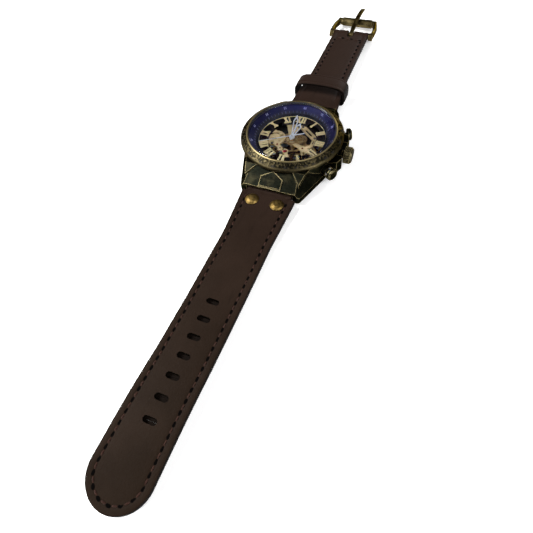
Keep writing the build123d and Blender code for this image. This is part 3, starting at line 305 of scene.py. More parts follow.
def patina(name, dark, worn, rough=0.38, wear=0.30, edge_radius=0.00022, edge_high=0.22):
    """Antique metal: dark in the hollows, rubbed bright on its edges and in patches."""
    tree = Tree(name)
    cloud = tree.noise(260, 7)
    grain = tree.noise(1900, 5)
    brushed = tree.noise(700, 3, stretch=(1, 1, 9))
    rubbed = tree.level(tree.math("ADD", cloud, tree.math("MULTIPLY", grain, 0.35)), 0.62, 0.88)
    share = tree.math("MAXIMUM", tree.math("MULTIPLY", rubbed, wear),
                      tree.edges(edge_radius, high=edge_high))
    tone = tree.mix(tree.level(brushed, 0.35, 0.65), dark, tuple(1.7 * c for c in dark))
    tree.set(Base_Color=tree.mix(share, tone, worn), Metallic=1.0, Specular_Tint=GRAZING_TINT)
    tree.set(Roughness=tree.level(grain, 0.3, 0.7, rough - 0.1, rough + 0.14))
    tree.bump(tree.math("ADD", tree.math("MULTIPLY", cloud, 0.6), grain), 0.00003, 0.5)
    return tree.material


def bezel_metal():
    """Bezel: patinated slope, bright rubbed rims inside and outside."""
    tree = Tree("bezel_metal")
    cloud = tree.noise(1100, 6)
    grain = tree.noise(2400, 4)
    radius = tree.radius()
    rim = tree.math("MULTIPLY", tree.level(radius, *BEZEL_INNER_RIM), 0.8)
    outer = tree.math("MULTIPLY", tree.level(radius, *BEZEL_OUTER_RIM), 0.14)
    rubbed = tree.math("MULTIPLY", tree.level(cloud, 0.46, 0.62), 0.22)
    share = tree.math("MAXIMUM", tree.math("MAXIMUM", rim, outer), rubbed)
    share = tree.math("MAXIMUM", share, tree.math("MULTIPLY", tree.edges(0.0002), 0.6))
    colour = tree.mix(share, (0.007, 0.0065, 0.004), (0.26, 0.205, 0.10))
    tree.set(Base_Color=colour, Metallic=1.0, Specular_Tint=GRAZING_TINT)
    tree.set(Roughness=tree.level(grain, 0.3, 0.7, 0.36, 0.55))
    tree.bump(tree.math("ADD", cloud, grain), 0.00003, 0.5)
    return tree.material


def polished(name, colour, rough=0.22, spread=0.12, shade=0.75, grain_scale=1500, metallic=1.0):
    """Fine movement metal: straight-grained, with a little tone change."""
    tree = Tree(name)
    grain = tree.noise(grain_scale, 3, stretch=(1, 8, 1))
    cloud = tree.noise(300, 4)
    tone = tree.mix(tree.level(cloud, 0.3, 0.7), tuple(shade * c for c in colour), colour)
    bright = tuple(min(1.0, 1.15 * c) for c in colour)
    tree.set(Base_Color=tree.mix(tree.edges(0.00008), tone, bright), Metallic=metallic)
    tree.set(Roughness=tree.level(grain, 0.3, 0.7, rough, rough + spread))
    tree.bump(grain, 0.00001, 0.4)
    return tree.material


def perlage(name, colour, rough=0.28, rim_colour=None, metallic=1.0, outline=None):
    """Plate metal with the small overlapping circles of a watch's base plate."""
    tree = Tree(name)
    rings = tree.math("SINE", tree.math("MULTIPLY", tree.cells(620), 26.0))
    cloud = tree.noise(240, 4)
    tone = tree.mix(tree.level(cloud, 0.3, 0.7), tuple(0.72 * c for c in colour), colour)
    outline = outline or tuple(min(1, 1.3 * c) for c in colour)
    tone = tree.mix(tree.edges(0.00012, high=0.12), tone, outline)
    if rim_colour:
        tone = tree.mix(tree.level(tree.radius(), *PLATE_RIM), tone, rim_colour)
    tree.set(Base_Color=tone)
    tree.set(Metallic=metallic, Roughness=tree.level(rings, -1, 1, rough, rough + 0.12))
    tree.bump(rings, 0.000012, 0.35)
    return tree.material


def satin_hand():
    """Silver-white plated hands."""
    tree = Tree("hand_silver")
    grain = tree.noise(2600, 3, stretch=(6, 1, 1))
    tone = tree.mix(tree.level(grain, 0.3, 0.7), (0.70, 0.70, 0.68), (0.86, 0.86, 0.84))
    tree.set(Base_Color=tone, Metallic=0.45)
    tree.set(Roughness=tree.level(grain, 0.3, 0.7, 0.3, 0.42))
    tree.bump(grain, 0.000008, 0.4)
    return tree.material


def chapter_paint():
    """Chapter ring: deep blue slope with a grey metal band round its inner edge."""
    tree = Tree("chapter_paint")
    cloud = tree.noise(260, 4)
    fleck = tree.noise(5200, 2)
    band = tree.level(tree.radius(), *CHAPTER_BAND)
    blue = tree.mix(tree.level(cloud, 0.3, 0.7), (0.0050, 0.0042, 0.024), (0.0072, 0.0063, 0.037))
    blue = tree.mix(tree.level(fleck, 0.62, 0.8), blue, (0.016, 0.018, 0.09))
    dust = tree.level(tree.noise(900, 3), 0.3, 0.7)
    grey = tree.mix(dust, (0.012, 0.011, 0.015), (0.022, 0.020, 0.024))
    tree.set(Base_Color=tree.mix(band, blue, grey), Specular_IOR_Level=0.12)
    tree.set(Roughness=tree.level(fleck, 0.3, 0.7, 0.5, 0.65))
    tree.bump(fleck, 0.000006, 0.3)
    return tree.material


def glass(name, tint, specular, edge=1.0):
    """Coated clear glass: hardly mirroring inside the edge radius, mirroring on its bevel."""
    tree = Tree(name)
    ior = tree.level(tree.radius(), edge - 0.0001, edge, 1.12, 1.24)
    smear = tree.noise(160, 4, stretch=(1, 2, 1))
    tree.set(Base_Color=tint, Transmission_Weight=1.0, IOR=ior)
    tree.set(Roughness=tree.level(smear, 0.45, 0.8, 0.0, 0.03))
    tree.shader.inputs["Specular Tint"].default_value = (*specular, 1.0)
    return tree.material


def ruby():
    """Red synthetic ruby of the bearing jewels."""
    tree = Tree("ruby")
    cloud = tree.noise(900, 3)
    colour = tree.mix(tree.level(cloud, 0.3, 0.7), (0.14, 0.003, 0.008), (0.30, 0.010, 0.020))
    tree.set(Base_Color=colour, Transmission_Weight=0.25)
    tree.set(Roughness=tree.level(cloud, 0.3, 0.7, 0.05, 0.14))
    return tree.material


def rubber():
    """Matt black gasket rubber."""
    tree = Tree("rubber")
    grain = tree.noise(3000, 4)
    tree.set(Base_Color=tree.mix(grain, (0.012, 0.012, 0.012), (0.03, 0.03, 0.03)))
    tree.set(Roughness=tree.level(grain, 0.3, 0.7, 0.55, 0.75))
    tree.bump(grain, 0.00001, 0.5)
    return tree.material


def leather(name, brown, light, red, edge, rough=0.46):
    """Smooth waxed leather: fine grain, pores, soft mottling, redder towards the buckle."""
    tree = Tree(name)
    mottle = tree.noise(55, 6)
    streak = tree.noise(120, 5, stretch=(3.5, 0.6, 1))
    grain = tree.cells(2300, stretch=(1, 0.8, 1), feature="SMOOTH_F1")
    pores = tree.cells(900)
    fine = tree.noise(5200, 3)
    tone = tree.mix(tree.level(mottle, 0.3, 0.7), brown, light)
    tone = tree.mix(tree.level(tree.along(), -0.13, 0.03, 0.0, 0.55), tone, red)
    tone = tree.mix(tree.level(streak, 0.56, 0.78, 0.0, 0.35), tone, tuple(0.55 * c for c in brown))
    tone = tree.mix(tree.level(pores, 0.13, 0.02, 0.0, 0.6), tone, tuple(0.4 * c for c in brown))
    side = tree.level(tree.math("ABSOLUTE", tree.up()), 0.80, 0.45)
    tree.set(Base_Color=tree.mix(side, tone, edge))
    worn = tree.level(fine, 0.3, 0.7, rough - 0.07, rough + 0.1)
    tree.set(Roughness=worn, Specular_IOR_Level=0.03)
    height = tree.math("ADD", tree.math("MULTIPLY", grain, 0.7), tree.math("MULTIPLY", fine, 0.3))
    height = tree.math("ADD", height, tree.level(pores, 0.0, 0.12, 0.0, 0.7))
    tree.bump(height, 0.0001, 0.7)
    return tree.material


def suede(name, colour):
    """Matt flesh side of the lining."""
    tree = Tree(name)
    nap = tree.noise(1700, 6)
    cloud = tree.noise(140, 4)
    tone = tree.mix(tree.level(cloud, 0.3, 0.7), tuple(0.75 * c for c in colour), colour)
    tree.set(Base_Color=tree.mix(tree.level(nap, 0.3, 0.7), tone, tuple(1.35 * c for c in colour)))
    tree.set(Roughness=tree.level(nap, 0.3, 0.7, 0.75, 0.92), Specular_IOR_Level=0.05)
    tree.bump(nap, 0.00008, 0.6)
    return tree.material


def thread(name, colour):
    """Waxed thread, with the fine slanting lines of its twist."""
    tree = Tree(name)
    twist = tree.noise(2600, 2, stretch=(1, 2.2, 1))
    tone = tree.mix(tree.level(twist, 0.35, 0.65), tuple(0.5 * c for c in colour), colour)
    tree.set(Base_Color=tone, Roughness=tree.level(twist, 0.3, 0.7, 0.6, 0.8))
    tree.set(Specular_IOR_Level=0.15)
    tree.bump(twist, 0.00005, 0.6)
    return tree.material


def print_ink(name, colour, rough=0.5, specular=0.3):
    """Matt paint with a fine speckle, for printed marks and for the painted shade of the awl holes.
    """
    tree = Tree(name)
    tree.set(Specular_IOR_Level=specular)
    speck = tree.noise(6000, 2)
    tree.set(Base_Color=tree.mix(speck, tuple(0.75 * c for c in colour), colour))
    tree.set(Roughness=tree.level(speck, 0.3, 0.7, rough - 0.08, rough + 0.1))
    return tree.material


def floor_paint():
    """White table that glows a little, except in the shade right under the case."""
    tree = Tree("floor_paint")
    cloud = tree.noise(6, 2)
    tree.set(Base_Color=tree.mix(cloud, (0.93, 0.93, 0.93), (0.96, 0.96, 0.96)), Roughness=0.9)
    glow = tree.level(tree.radius(), *CASE_SHADE, 0.0, FLOOR_GLOW)
    tree.set(Specular_IOR_Level=0.1, Emission_Color=(1.0, 1.0, 1.0), Emission_Strength=glow)
    return tree.material


def looks():
    """Every material, by name."""
    return {
        "bronze": patina("bronze", (0.0045, 0.0051, 0.0034), (0.34, 0.28, 0.14), wear=0.04,
                         edge_radius=0.0004, edge_high=0.15),
        "aged_brass": patina("aged_brass", (0.10, 0.066, 0.020), (0.26, 0.175, 0.058), 0.44, 0.5),
        "buckle_brass": patina("buckle_brass", (0.045, 0.034, 0.014), (0.32, 0.25, 0.115),
                               0.36, 0.4),
        "bezel": bezel_metal(),
        "gold": polished("gold", (0.95, 0.76, 0.36), 0.4, shade=0.9, metallic=0.35),
        "plate_gold": perlage("plate_gold", (0.84, 0.62, 0.29), 0.34, (0.022, 0.012, 0.014),
                              metallic=0.4, outline=(0.10, 0.05, 0.03)),
        "wheel_gold": polished("wheel_gold", (0.50, 0.33, 0.15), 0.3, metallic=0.7),
        "balance": polished("balance", (0.13, 0.065, 0.055), 0.3),
        "screw_steel": polished("screw_steel", (0.20, 0.17, 0.15), 0.4),
        "silver": polished("silver", (0.62, 0.62, 0.60), 0.26),
        "hand_silver": satin_hand(),
        "steel": polished("steel", (0.46, 0.45, 0.44), 0.26),
        "dark_steel": polished("dark_steel", (0.05, 0.042, 0.042), 0.34),
        "bridge": perlage("bridge", (0.060, 0.034, 0.038), 0.36),
        "rotor": perlage("rotor", (0.30, 0.22, 0.12), 0.32),
        "chapter": chapter_paint(),
        "crystal": glass("crystal", (0.86, 0.90, 1.0), (0.75, 0.85, 1.0), GLASS_BEVEL_R),
        "back_glass": glass("back_glass", (0.92, 0.95, 0.94), (1.0, 1.0, 1.0)),
        "ruby": ruby(),
        "rubber": rubber(),
        "leather": leather("leather", (0.0098, 0.0057, 0.0033), (0.0145, 0.0086, 0.0054),
                           (0.0180, 0.0098, 0.0076), (0.0030, 0.0019, 0.0012), 0.58),
        "lining": suede("lining", (0.0050, 0.0031, 0.0021)),
        "keeper_lining": suede("keeper_lining", (0.0020, 0.0016, 0.0013)),
        "thread": thread("thread", (0.034, 0.013, 0.008)),
        # near-black painted shade for the insides of the awl holes beside the stitches
        "painted_seam_hole_shade": print_ink("painted_seam_hole_shade", (0.0012, 0.0009, 0.0008), 0.9, 0.02),
        "white_ink": print_ink("white_ink", (0.34, 0.35, 0.50)),
        "blue_ink": print_ink("blue_ink", (0.075, 0.085, 0.17)),
        "dark_ink": print_ink("dark_ink", (0.010, 0.008, 0.006), 0.6),
    }


NODE_LOOKS = {
    "bronze": ("case_middle", "crown", "crown_tube", "pusher_upper", "pusher_lower",
               "pusher_tubes", "case_back_ring", "movement_ring"),
    "bezel": ("bezel",),
    "aged_brass": ("strap_rivets",),
    "buckle_brass": ("buckle_frame", "buckle_roller", "buckle_tongue", "buckle_bar"),
    "gold": ("dial_ring",),
    "plate_gold": ("main_plate",),
    "wheel_gold": ("minute_wheel", "hour_wheel", "centre_wheel", "third_wheel", "fourth_wheel",
                   "escape_wheel", "winding_pinion"),
    "balance": ("balance_wheel", "hairspring", "balance_staff"),
    "screw_steel": ("movement_screws", "case_back_screws"),
    "silver": ("pallet_fork",),
    "hand_silver": ("hour_hand", "minute_hand", "seconds_hand"),
    "steel": ("cannon_pinion", "barrel_arbor", "winding_stem", "ratchet_wheel", "crown_wheel",
              "click", "spring_bar_long", "spring_bar_short", "pusher_springs", "rotor_bearing"),
    "dark_steel": ("barrel_drum", "mainspring"),
    "bridge": ("barrel_bridge", "train_bridge", "pallet_bridge", "balance_cock"),
    "rotor": ("rotor",),
    "chapter": ("chapter_ring",),
    "crystal": ("crystal",),
    "back_glass": ("case_back_glass",),
    "ruby": ("jewels",),
    "rubber": ("crystal_gasket", "case_back_gasket"),
}


def paint_nodes(materials):
    for look, nodes in NODE_LOOKS.items():
        for node in nodes:
            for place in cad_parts[node].material_slots:
                place.material = materials[look]


# ---------------------------------------------------------------- mesh helpers

def mesh_piece(name, points, faces, material, body, sharp=40):
    """A piece from points in millimetres, smooth except at sharp edges."""
    mesh = bpy.data.meshes.new(name)
    mesh.from_pydata([Vector(p) * MM for p in points], [], faces)
    mesh.materials.append(material)
    obj = bpy.data.objects.new(name, mesh)
    bpy.context.scene.collection.objects.link(obj)
    finish_mesh(mesh, sharp)
    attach(obj, body)
    return obj


def finish_mesh(mesh, sharp):
    work = bmesh.new()
    work.from_mesh(mesh)
    bmesh.ops.remove_doubles(work, verts=work.verts, dist=1e-7)
    bmesh.ops.recalc_face_normals(work, faces=work.faces)
    work.to_mesh(mesh)
    work.free()
    mesh.shade_smooth()
    mesh.set_sharp_from_angle(angle=radians(sharp))


def grid_faces(rows, columns, closed=False, start=0):
    """Quads between neighbouring points of a grid stored row by row."""
    faces = []
    for i in range(rows - 1):
        for j in range(columns if closed else columns - 1):
            after = (j + 1) % columns
            a, b = start + i * columns, start + (i + 1) * columns
            faces.append((a + j, a + after, b + after, b + j))
    return faces


def smooth_step(value, low, high):
    share = min(1.0, max(0.0, (value - low) / (high - low)))
    return share * share * (3 - 2 * share)


def cad_tree(node):
    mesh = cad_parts[node].data
    return BVHTree.FromPolygons([v.co for v in mesh.vertices], [f.vertices for f in mesh.polygons])


def cad_heights(trees, x, y):
    """Lowest and highest point of CAD nodes on an upright line, in millimetres."""
    levels = []
    for tree in trees:
        for direction in (-1, 1):
            start = Vector((x, y, -direction * 50)) * MM
            where = tree.ray_cast(start, Vector((0, 0, direction)))[0]
            if where:
                levels.append(where.z / MM)
    return min(levels), max(levels)


# ---------------------------------------------------------------- strap leather

# distances in from the strap's edge where its cross-section has a point, close at the seam groove
EDGE_STEPS = (0, 0.06, 0.18, 0.36, 0.6, 1.0, 1.5, 1.95, 2.25, 2.45, 2.65, 2.95, 3.5, 4.4, 5.6,
              6.9, 8.3)
# distances in from a rolled end where a cross-section stands, before the even spacing starts
END_STEPS = (0.03, 0.15, 0.4, 0.8, 1.3)
ROW_PITCH = 0.75


class StrapHalf:
    """Outline and heights of one strap half; along runs from the lug to its far end."""

    def __init__(self, side, nodes, end):
        self.side = side
        self.end = end
        self.rounded = side < 0
        self.heights = {}
        self.trees = [cad_tree(node) for node in nodes]
        self.tip = end - TIP_R

    def bend(self, along):
        """0 up to where the long strap starts to bend sideways and widen, 1 at its tip."""
        share = (along - BEND_Y) / (LONG_END_Y - TIP_R - BEND_Y)
        return min(1.0, max(0.0, share)) if self.rounded else 0.0

    def centre(self, along):
        return TIP_X * self.bend(along)

    def half_width(self, along):
        if along < SHOULDER_Y:
            return TAB_HALF_W
        far_w, taper = ((LONG_HALF_W, LONG_TAPER_Y) if self.rounded
                        else (SHORT_HALF_W, SHORT_TAPER_Y))
        share = min(1.0, (along - SHOULDER_Y) / (taper - SHOULDER_Y))
        if self.rounded and along > self.tip:
            return sqrt(max(0.0, TIP_R ** 2 - (along - self.tip) ** 2))
        return LUG_HALF_W + (far_w - LUG_HALF_W) * share + (TIP_R - far_w) * self.bend(along)

    def edge_distance(self, x, along):
        """How far a point lies inside the outline."""
        if self.rounded and along > self.tip:
            return TIP_R - hypot(x - TIP_X, along - self.tip)
        return self.half_width(along) - abs(x - self.centre(along))

    def height(self, along):
        """Underside and top of the CAD leather and lining, beside the holes and the slot."""
        key = round(along, 3)
        if key not in self.heights:
            aside = self.centre(along) + min(4.0, 0.4 * self.half_width(along) + 0.01)
            inside_end = min(along, self.end - 0.02)
            self.heights[key] = cad_heights(self.trees, aside, self.side * inside_end)
        return self.heights[key]

    def stations(self):
        """Places along the strap where its cross-section is made."""
        first = BAR_Y - LOOP_R
        rows = [first + step for step in END_STEPS]
        rows += [BAR_Y, 26.2, 27.2, SHOULDER_Y - 0.02, SHOULDER_Y]
        if self.rounded:
            rows += [self.end - step for step in EDGE_STEPS if step > 0]
            rows.append(self.end - 0.004)
            stop = self.end - 9.0
        else:
            rows += [self.end - step for step in END_STEPS]
            stop = self.end - 1.8
        count = int((stop - SHOULDER_Y) / ROW_PITCH)
        rows += [SHOULDER_Y + (stop - SHOULDER_Y) * (i + 1) / count for i in range(count)]
        return sorted(rows)

    def columns(self):
        full = LONG_HALF_W
        right = [1 - step / full for step in EDGE_STEPS]
        return [-share for share in right] + [0.0] + right[::-1]


def top_profile(inside):
    """Height of the leather's face against its flat top, by distance from the edge."""
    drop = 0.0
    if inside < ROUNDING:
        drop = ROUNDING * (1 - sqrt(max(0.0, 1 - (1 - inside / ROUNDING) ** 2)))
    groove = GROOVE_DEPTH * exp(-((inside - SEAM_INSET) / 0.5) ** 2)
    return CROWN_HEIGHT * smooth_step(inside, 3.0, 7.5) - groove - drop


def ripple(x, y, size):
    """Slow, shallow unevenness of real leather."""
    return size * noise.noise(Vector((0.11 * x, 0.07 * y, 3.1)))


def strap_points(half, layer):
    """Top and bottom grids of the leather or the lining."""
    top, bottom = [], []
    rows, columns = half.stations(), half.columns()
    for along in rows:
        low, high = half.height(along)
        middle = min(low + LINING_T, 0.5 * (low + high) if high - low < 2.3 else high)
        width = half.half_width(along)
        for share in columns:
            x, y = half.centre(along) + share * width, half.side * along
            inside = half.edge_distance(x, along)
            if layer == "leather":
                face = max(middle + 0.02, high + top_profile(inside) + ripple(x, y, 0.07))
                top.append((x, y, face))
                bottom.append((x, y, middle))
            else:
                inner = x - 0.015 * share * width
                round_off = 0.35 * (1 - smooth_step(inside, 0.0, 0.6))
                top.append((inner, y, middle - 0.01))
                bottom.append((inner, y, min(middle - 0.02, low + round_off)))
    return top, bottom, len(rows), len(columns)


def strap_layer(half, layer, name, material, body, cutters):
    top, bottom, rows, columns = strap_points(half, layer)
    count = rows * columns
    faces = grid_faces(rows, columns) + grid_faces(rows, columns, start=count)
    for i in range(rows - 1):
        for j in (0, columns - 1):
            a, b = i * columns + j, (i + 1) * columns + j
            faces.append((a, b, b + count, a + count))
    for i in (0, rows - 1):
        for j in range(columns - 1):
            a = i * columns + j
            faces.append((a, a + 1, a + 1 + count, a + count))
    obj = mesh_piece(name, top + bottom, faces, material, body)
    carve(obj, cutters)
    return obj


def slot_prism(length, width, y, turn=0.0, segments=10):
    """Upright prism with a slot outline, long side across the strap."""
    ring = []
    for side in (-1, 1):
        for i in range(segments + 1):
            angle = pi * (i / segments - 0.5) + (pi if side < 0 else 0)
            x = side * (length - width) / 2 + width / 2 * cos(angle)
            ring.append((x * cos(turn), x * sin(turn), width / 2 * sin(angle)))
    points = [(x - z * sin(turn), y + h + z * cos(turn), level)
              for level in CUT_LEVELS for x, h, z in ring]
    n = len(ring)
    faces = [tuple(range(n))[::-1], tuple(range(n, 2 * n))] + grid_faces(2, n, closed=True)
    mesh = bpy.data.meshes.new("cutter")
    mesh.from_pydata([Vector(p) * MM for p in points], [], faces)
    work = bmesh.new()
    work.from_mesh(mesh)
    bmesh.ops.recalc_face_normals(work, faces=work.faces)
    work.to_mesh(mesh)
    work.free()
    return mesh


def carve(obj, cutters):
    """Cuts prisms out of a piece and keeps the result in its mesh."""
    for mesh in cutters:
        cutter = bpy.data.objects.new("cutter", mesh)
        bpy.context.scene.collection.objects.link(cutter)
        change = obj.modifiers.new("cut", "BOOLEAN")
        change.operation = "DIFFERENCE"
        change.solver = "EXACT"
        change.object = cutter
        graph = bpy.context.evaluated_depsgraph_get()
        cut = bpy.data.meshes.new_from_object(obj.evaluated_get(graph))
        obj.modifiers.clear()
        obj.data = cut
        bpy.data.objects.remove(cutter)
    obj.data.shade_smooth()
    obj.data.set_sharp_from_angle(angle=radians(40))


def surface(half, x, along):
    """Height of the leather's face at a place on the strap."""
    return half.height(along)[1] + top_profile(half.edge_distance(x, along))


def seam_path(half, start, stop):
    """Points along the seam: up one side, round the tip if there is one, down the other."""
    path = []
    step = 0.25
    straight_end = half.tip if half.rounded else stop
    runs = [start + step * i for i in range(int((straight_end - start) / step))]
    path += [(half.centre(run) - half.half_width(run) + SEAM_INSET, run) for run in runs]
    if half.rounded:
        radius = TIP_R - SEAM_INSET
        count = int(pi * radius / step)
        for i in range(count + 1):
            angle = pi - pi * i / count
            path.append((TIP_X + radius * cos(angle), half.tip + radius * sin(angle)))
        path += [(half.centre(run) + half.half_width(run) - SEAM_INSET, run) for run in runs[::-1]]
    return path


def even_places(path, pitch):
    """Places a pitch apart along a path, with the path's direction at each."""
    places = []
    travelled, due = 0.0, pitch / 2
    for (x0, a0), (x1, a1) in zip(path, path[1:]):
        length = hypot(x1 - x0, a1 - a0)
        while length and due <= travelled + length:
            share = (due - travelled) / length
            places.append((x0 + (x1 - x0) * share, a0 + (a1 - a0) * share,
                           (x1 - x0) / length, (a1 - a0) / length))
            due += pitch
        travelled += length
    return places


def add_stitch(points, faces, start, finish, normal_lift):
    """One thread stitch: a twisted two-ply rod that dives into the leather at both ends."""
    rings, sides = 9, 8
    along = finish - start
    direction = along.normalized()
    across = direction.cross(Vector((0, 0, 1))).normalized()
    up = across.cross(direction)
    first = len(points)
    for i in range(rings):
        share = i / (rings - 1)
        swell = sin(pi * share) ** 0.35 if 0 < share < 1 else 0.15
        centre = start + along * share + up * (normal_lift * sin(pi * share) - 0.16)
        for j in range(sides):
            angle = 2 * pi * j / sides
            radius = THREAD_R * swell * (1 + 0.13 * cos(2 * angle + 7 * share))
            points.append(tuple(centre + (across * cos(angle) + up * sin(angle)) * radius))
    faces.extend(grid_faces(rings, sides, closed=True, start=first))
    faces.append(tuple(range(first, first + sides)))
    faces.append(tuple(range(first + (rings - 1) * sides, first + rings * sides)))


def add_pit(points, faces, centre, direction):
    """Painted shade of an awl hole beside a stitch: a small dark oval lying on the groove's floor.
    """
    first = len(points)
    sides = 12
    across = direction.cross(Vector((0, 0, 1))).normalized()
    for i in range(sides):
        angle = 2 * pi * i / sides
        points.append(tuple(centre + direction * (PIT_SHADE_HALF_L * cos(angle))
                            + across * (PIT_SHADE_HALF_W * sin(angle))))
    faces.append(tuple(range(first, first + sides)))


def stitching(half, name, places, materials, body):
    """Thread of one seam, and small dark ovals of painted shade for its awl holes."""
    thread_points, thread_faces, pit_shade_points, pit_shade_faces = [], [], [], []
    for x, along, dx, da in places:
        direction = Vector((dx, half.side * da, 0))
        ends = []
        for sign in (-1, 1):
            ex, ea = x + sign * dx * STITCH_LENGTH / 2, along + sign * da * STITCH_LENGTH / 2
            ends.append(Vector((ex, half.side * ea, surface(half, ex, ea))))
        add_stitch(thread_points, thread_faces, ends[0], ends[1], 0.26)
        # centre of the painted shade of the awl hole between this stitch and the next
        px, pa = x + dx * STITCH_PITCH / 2, along + da * STITCH_PITCH / 2
        shade_spot = Vector((px, half.side * pa, surface(half, px, pa) + 0.12))
        add_pit(pit_shade_points, pit_shade_faces, shade_spot, direction)
    mesh_piece(name, thread_points, thread_faces, materials["thread"], body)
    # dark ovals of painted shade where the awl holes are
    mesh_piece(name + "_painted_pit_shades", pit_shade_points, pit_shade_faces, materials["painted_seam_hole_shade"], body)


def long_strap(materials):
    nodes = ("strap_long_leather", "strap_long_lining")
    half = StrapHalf(-1, nodes, LONG_END_Y)
    places = [HOLE_FIRST_Y - HOLE_PITCH * i for i in range(HOLE_COUNT)]
    holes = [slot_prism(HOLE_LENGTH, HOLE_WIDTH, y) for y in places]
    slits = [slot_prism(SLIT_LENGTH, SLIT_WIDTH, y) for y in places]
    top = strap_layer(half, "leather", "long_strap_leather", materials["leather"],
                      "strap_long", holes)
    under = strap_layer(half, "lining", "long_strap_lining", materials["lining"],
                        "strap_long", slits)
    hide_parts(nodes[0])
    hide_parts(nodes[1])
    places = even_places(seam_path(half, LONG_SEAM_START, LONG_END_Y), STITCH_PITCH)
    stitching(half, "long_strap_stitches", places, materials, "strap_long")


def short_strap(materials):
    nodes = ("strap_short_leather", "strap_short_lining")
    half = StrapHalf(1, nodes, BUCKLE_BAR_Y + LOOP_R)
    tongue_slot = [slot_prism(TONGUE_SLOT_LENGTH, TONGUE_SLOT_WIDTH, TONGUE_SLOT_Y, turn=pi / 2)]
    top = strap_layer(half, "leather", "short_strap_leather", materials["leather"],
                      "strap_short", tongue_slot)
    under = strap_layer(half, "lining", "short_strap_lining", materials["lining"],
                        "strap_short", tongue_slot)
    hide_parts(nodes[0])
    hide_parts(nodes[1])
    left = even_places(seam_path(half, SHORT_SEAM_START, SHORT_SEAM_END), STITCH_PITCH)
    right = [(-x, along, -dx, da) for x, along, dx, da in left]
    row_half = SHORT_HALF_W - SEAM_INSET
    count = int(2 * row_half / STITCH_PITCH)
    row = [(row_half * ((2 * i + 1) / count - 1), SEAM_ROW_Y, 1.0, 0.0) for i in range(count)]
    stitching(half, "short_strap_stitches", left + right + row, materials, "strap_short")


# ---------------------------------------------------------------- keeper

def keeper_outline():
    """Outer outline of the loop, anticlockwise from the middle of its floor, as (x, z)."""
    low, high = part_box("keeper")
    half, floor, top = high[0] / MM, low[2] / MM, high[2] / MM
    right = [(0, floor), (half - 6, floor), (half - 2.2, floor), (half - 1.1, floor + 0.25),
             (half - 0.35, floor + 0.9), (half, floor + 2.0), (half, floor + 3.6),
             (half, top - 4.4), (half - 0.25, top - 3.2), (half - 0.8, top - 2.2),
             (half - 1.9, top - 1.25),
             (half - 3.4, top - 0.65), (half - 5.4, top - 0.3), (half - 8.6, top - 0.08), (0, top)]
    return right + [(-x, z) for x, z in right[-2:0:-1]]


def keeper(materials):
    """Leather loop: a rounded band swept round its outline, with two seam grooves."""
    outline = keeper_outline()
    count = len(outline)
    half_l = KEEPER_LENGTH / 2
    upper = [(-0.02, half_l - 1.7), (0.13, half_l - 1.3), (0.0, half_l - 0.95),
             (0.0, half_l - 0.4), (0.12, half_l - 0.12), (0.38, half_l), (0.85, half_l),
             (KEEPER_T - 0.1, half_l - 0.1), (KEEPER_T, half_l - 0.5)]
    section = [(depth, -y) for depth, y in upper[5::-1]] + [(-0.06, 0.0)] + upper
    section += [(depth, -y) for depth, y in upper[:5:-1]]
    middle_y = KEEPER_Y0 + half_l
    points = []
    for i, (x, z) in enumerate(outline):
        before, after = Vector(outline[i - 1]), Vector(outline[(i + 1) % count])
        run = (after - before).normalized()
        outward = Vector((run.y, -run.x))
        for depth, y in section:
            points.append((x - outward.x * depth, middle_y + y, z - outward.y * depth))
    points_n = len(section)
    faces = grid_faces(count, points_n, closed=True)
    last = (count - 1) * points_n
    for j in range(points_n):
        after = (j + 1) % points_n
        faces.append((last + j, last + after, after, j))
    obj = mesh_piece("keeper_loop", points, faces, materials["leather"], "keeper",
                     sharp=75)
    obj.data.materials.append(materials["keeper_lining"])
    for face in obj.data.polygons:
        centre = face.center / MM
        inwards = Vector((-centre.x, 0, KEEPER_AXIS_Z - centre.z))
        if face.normal.dot(inwards) > 0.3 and abs(face.normal.y) < 0.5:
            face.material_index = 1
    change = obj.modifiers.new("smooth", "SUBSURF")
    change.levels = change.render_levels = 2
    graph = bpy.context.evaluated_depsgraph_get()
    obj.data = bpy.data.meshes.new_from_object(obj.evaluated_get(graph))
    obj.modifiers.clear()
    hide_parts("keeper")


# ---------------------------------------------------------------- marks on the rings

def on_slope(slope, share):
    """Radius and height at a share of the way out along a sloping ring."""
    (r0, z0), (r1, z1) = slope
    return r0 + (r1 - r0) * share, z0 + (z1 - z0) * share


def slope_frame(slope, share, angle):
    """Matrix with X along the ring, Y outwards along the slope and Z off it."""
    (r0, z0), (r1, z1) = slope
    radius, height = on_slope(slope, share)
    outward = Vector((sin(angle), cos(angle), 0))
    sideways = Vector((cos(angle), -sin(angle), 0))
    rise = (outward * (r1 - r0) + Vector((0, 0, z1 - z0))).normalized()
    normal = sideways.cross(rise)
    place = outward * radius + Vector((0, 0, height)) + normal * MARK_LIFT
    turn = Matrix((sideways, rise, normal)).transposed().to_4x4()
    return Matrix.Translation(place) @ turn


def ticks(name, slope, count, shares, width, skip, material, body):
    """Thin raised bars across a sloping ring, left out where a longer mark stands."""
    points, faces = [], []
    (r0, z0), (r1, z1) = slope
    length = hypot(r1 - r0, z1 - z0)
    for i in range(count):
        if skip and i % skip == 0:
            continue
        angle = 2 * pi * i / count
        place = slope_frame(slope, sum(shares) / 2, angle)
        half_l, half_w = length * (shares[1] - shares[0]) / 2, width / 2
        first = len(points)
        for z in (-MARK_HALF_T, MARK_HALF_T):
            for x, y in ((-half_w, -half_l), (half_w, -half_l),
                         (half_w, half_l), (-half_w, half_l)):
                points.append(tuple(place @ Vector((x, y, z))))
        faces.append(tuple(range(first, first + 4))[::-1])
        faces.append(tuple(range(first + 4, first + 8)))
        faces += grid_faces(2, 4, closed=True, start=first)
    mesh_piece(name, points, faces, material, body)


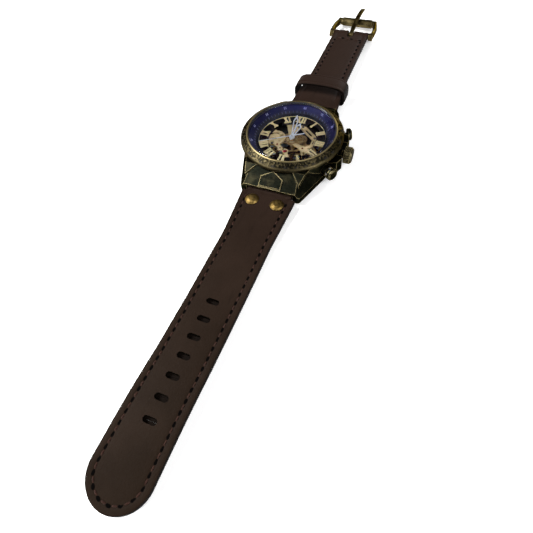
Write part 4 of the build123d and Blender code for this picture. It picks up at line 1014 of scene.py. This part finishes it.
def numbers(name, slope, share, labels, size, material, body):
    """Generic figures round a sloping ring, their tops towards the rim."""
    points, faces = [], []
    for degrees_round, label in labels:
        curve = bpy.data.curves.new("figure", "FONT")
        curve.body = label
        curve.size = size
        curve.extrude = MARK_HALF_T
        curve.align_x = "CENTER"
        curve.align_y = "CENTER"
        curve.resolution_u = 3
        text = bpy.data.objects.new("figure", curve)
        bpy.context.scene.collection.objects.link(text)
        graph = bpy.context.evaluated_depsgraph_get()
        mesh = bpy.data.meshes.new_from_object(text.evaluated_get(graph))
        place = slope_frame(slope, share, radians(degrees_round))
        first = len(points)
        points += [tuple(place @ vertex.co) for vertex in mesh.vertices]
        faces += [tuple(first + v for v in face.vertices) for face in mesh.polygons]
        bpy.data.objects.remove(text)
    mesh_piece(name, points, faces, material, body, sharp=30)


def ring_marks(materials):
    hours = [(30 * i, "%02d" % (5 * i or 60)) for i in range(12)]
    numbers("chapter_figures", CHAPTER_SLOPE, 0.70, hours, 1.35, materials["white_ink"],
            "case")
    ticks("chapter_minute_ticks", CHAPTER_SLOPE, 60, (0.10, 0.34), 0.16, 5, materials["blue_ink"],
          "case")
    ticks("chapter_hour_ticks", CHAPTER_SLOPE, 12, (0.08, 0.34), 0.26, 0, materials["blue_ink"],
          "case")
    scale = [(FULL_TURN_SPEED / speed, str(speed)) for speed in SPEEDS]
    numbers("bezel_figures", BEZEL_SLOPE, 0.74, scale, 1.15, materials["dark_ink"],
            "case")


# ---------------------------------------------------------------- scene

def floor(paint):
    """Table top just under the watch, not part of the object."""
    size = 1.5
    z = -0.02 * MM
    mesh = bpy.data.meshes.new("floor")
    mesh.from_pydata([(-size, -size, z), (size, -size, z), (size, size, z), (-size, size, z)],
                     [], [(0, 1, 2, 3)])
    mesh.materials.append(paint)
    obj = bpy.data.objects.new("floor", mesh)
    bpy.context.scene.collection.objects.link(obj)


camera()
studio()
floor(floor_paint())
materials = looks()
paint_nodes(materials)
long_strap(materials)
short_strap(materials)
keeper(materials)
ring_marks(materials)
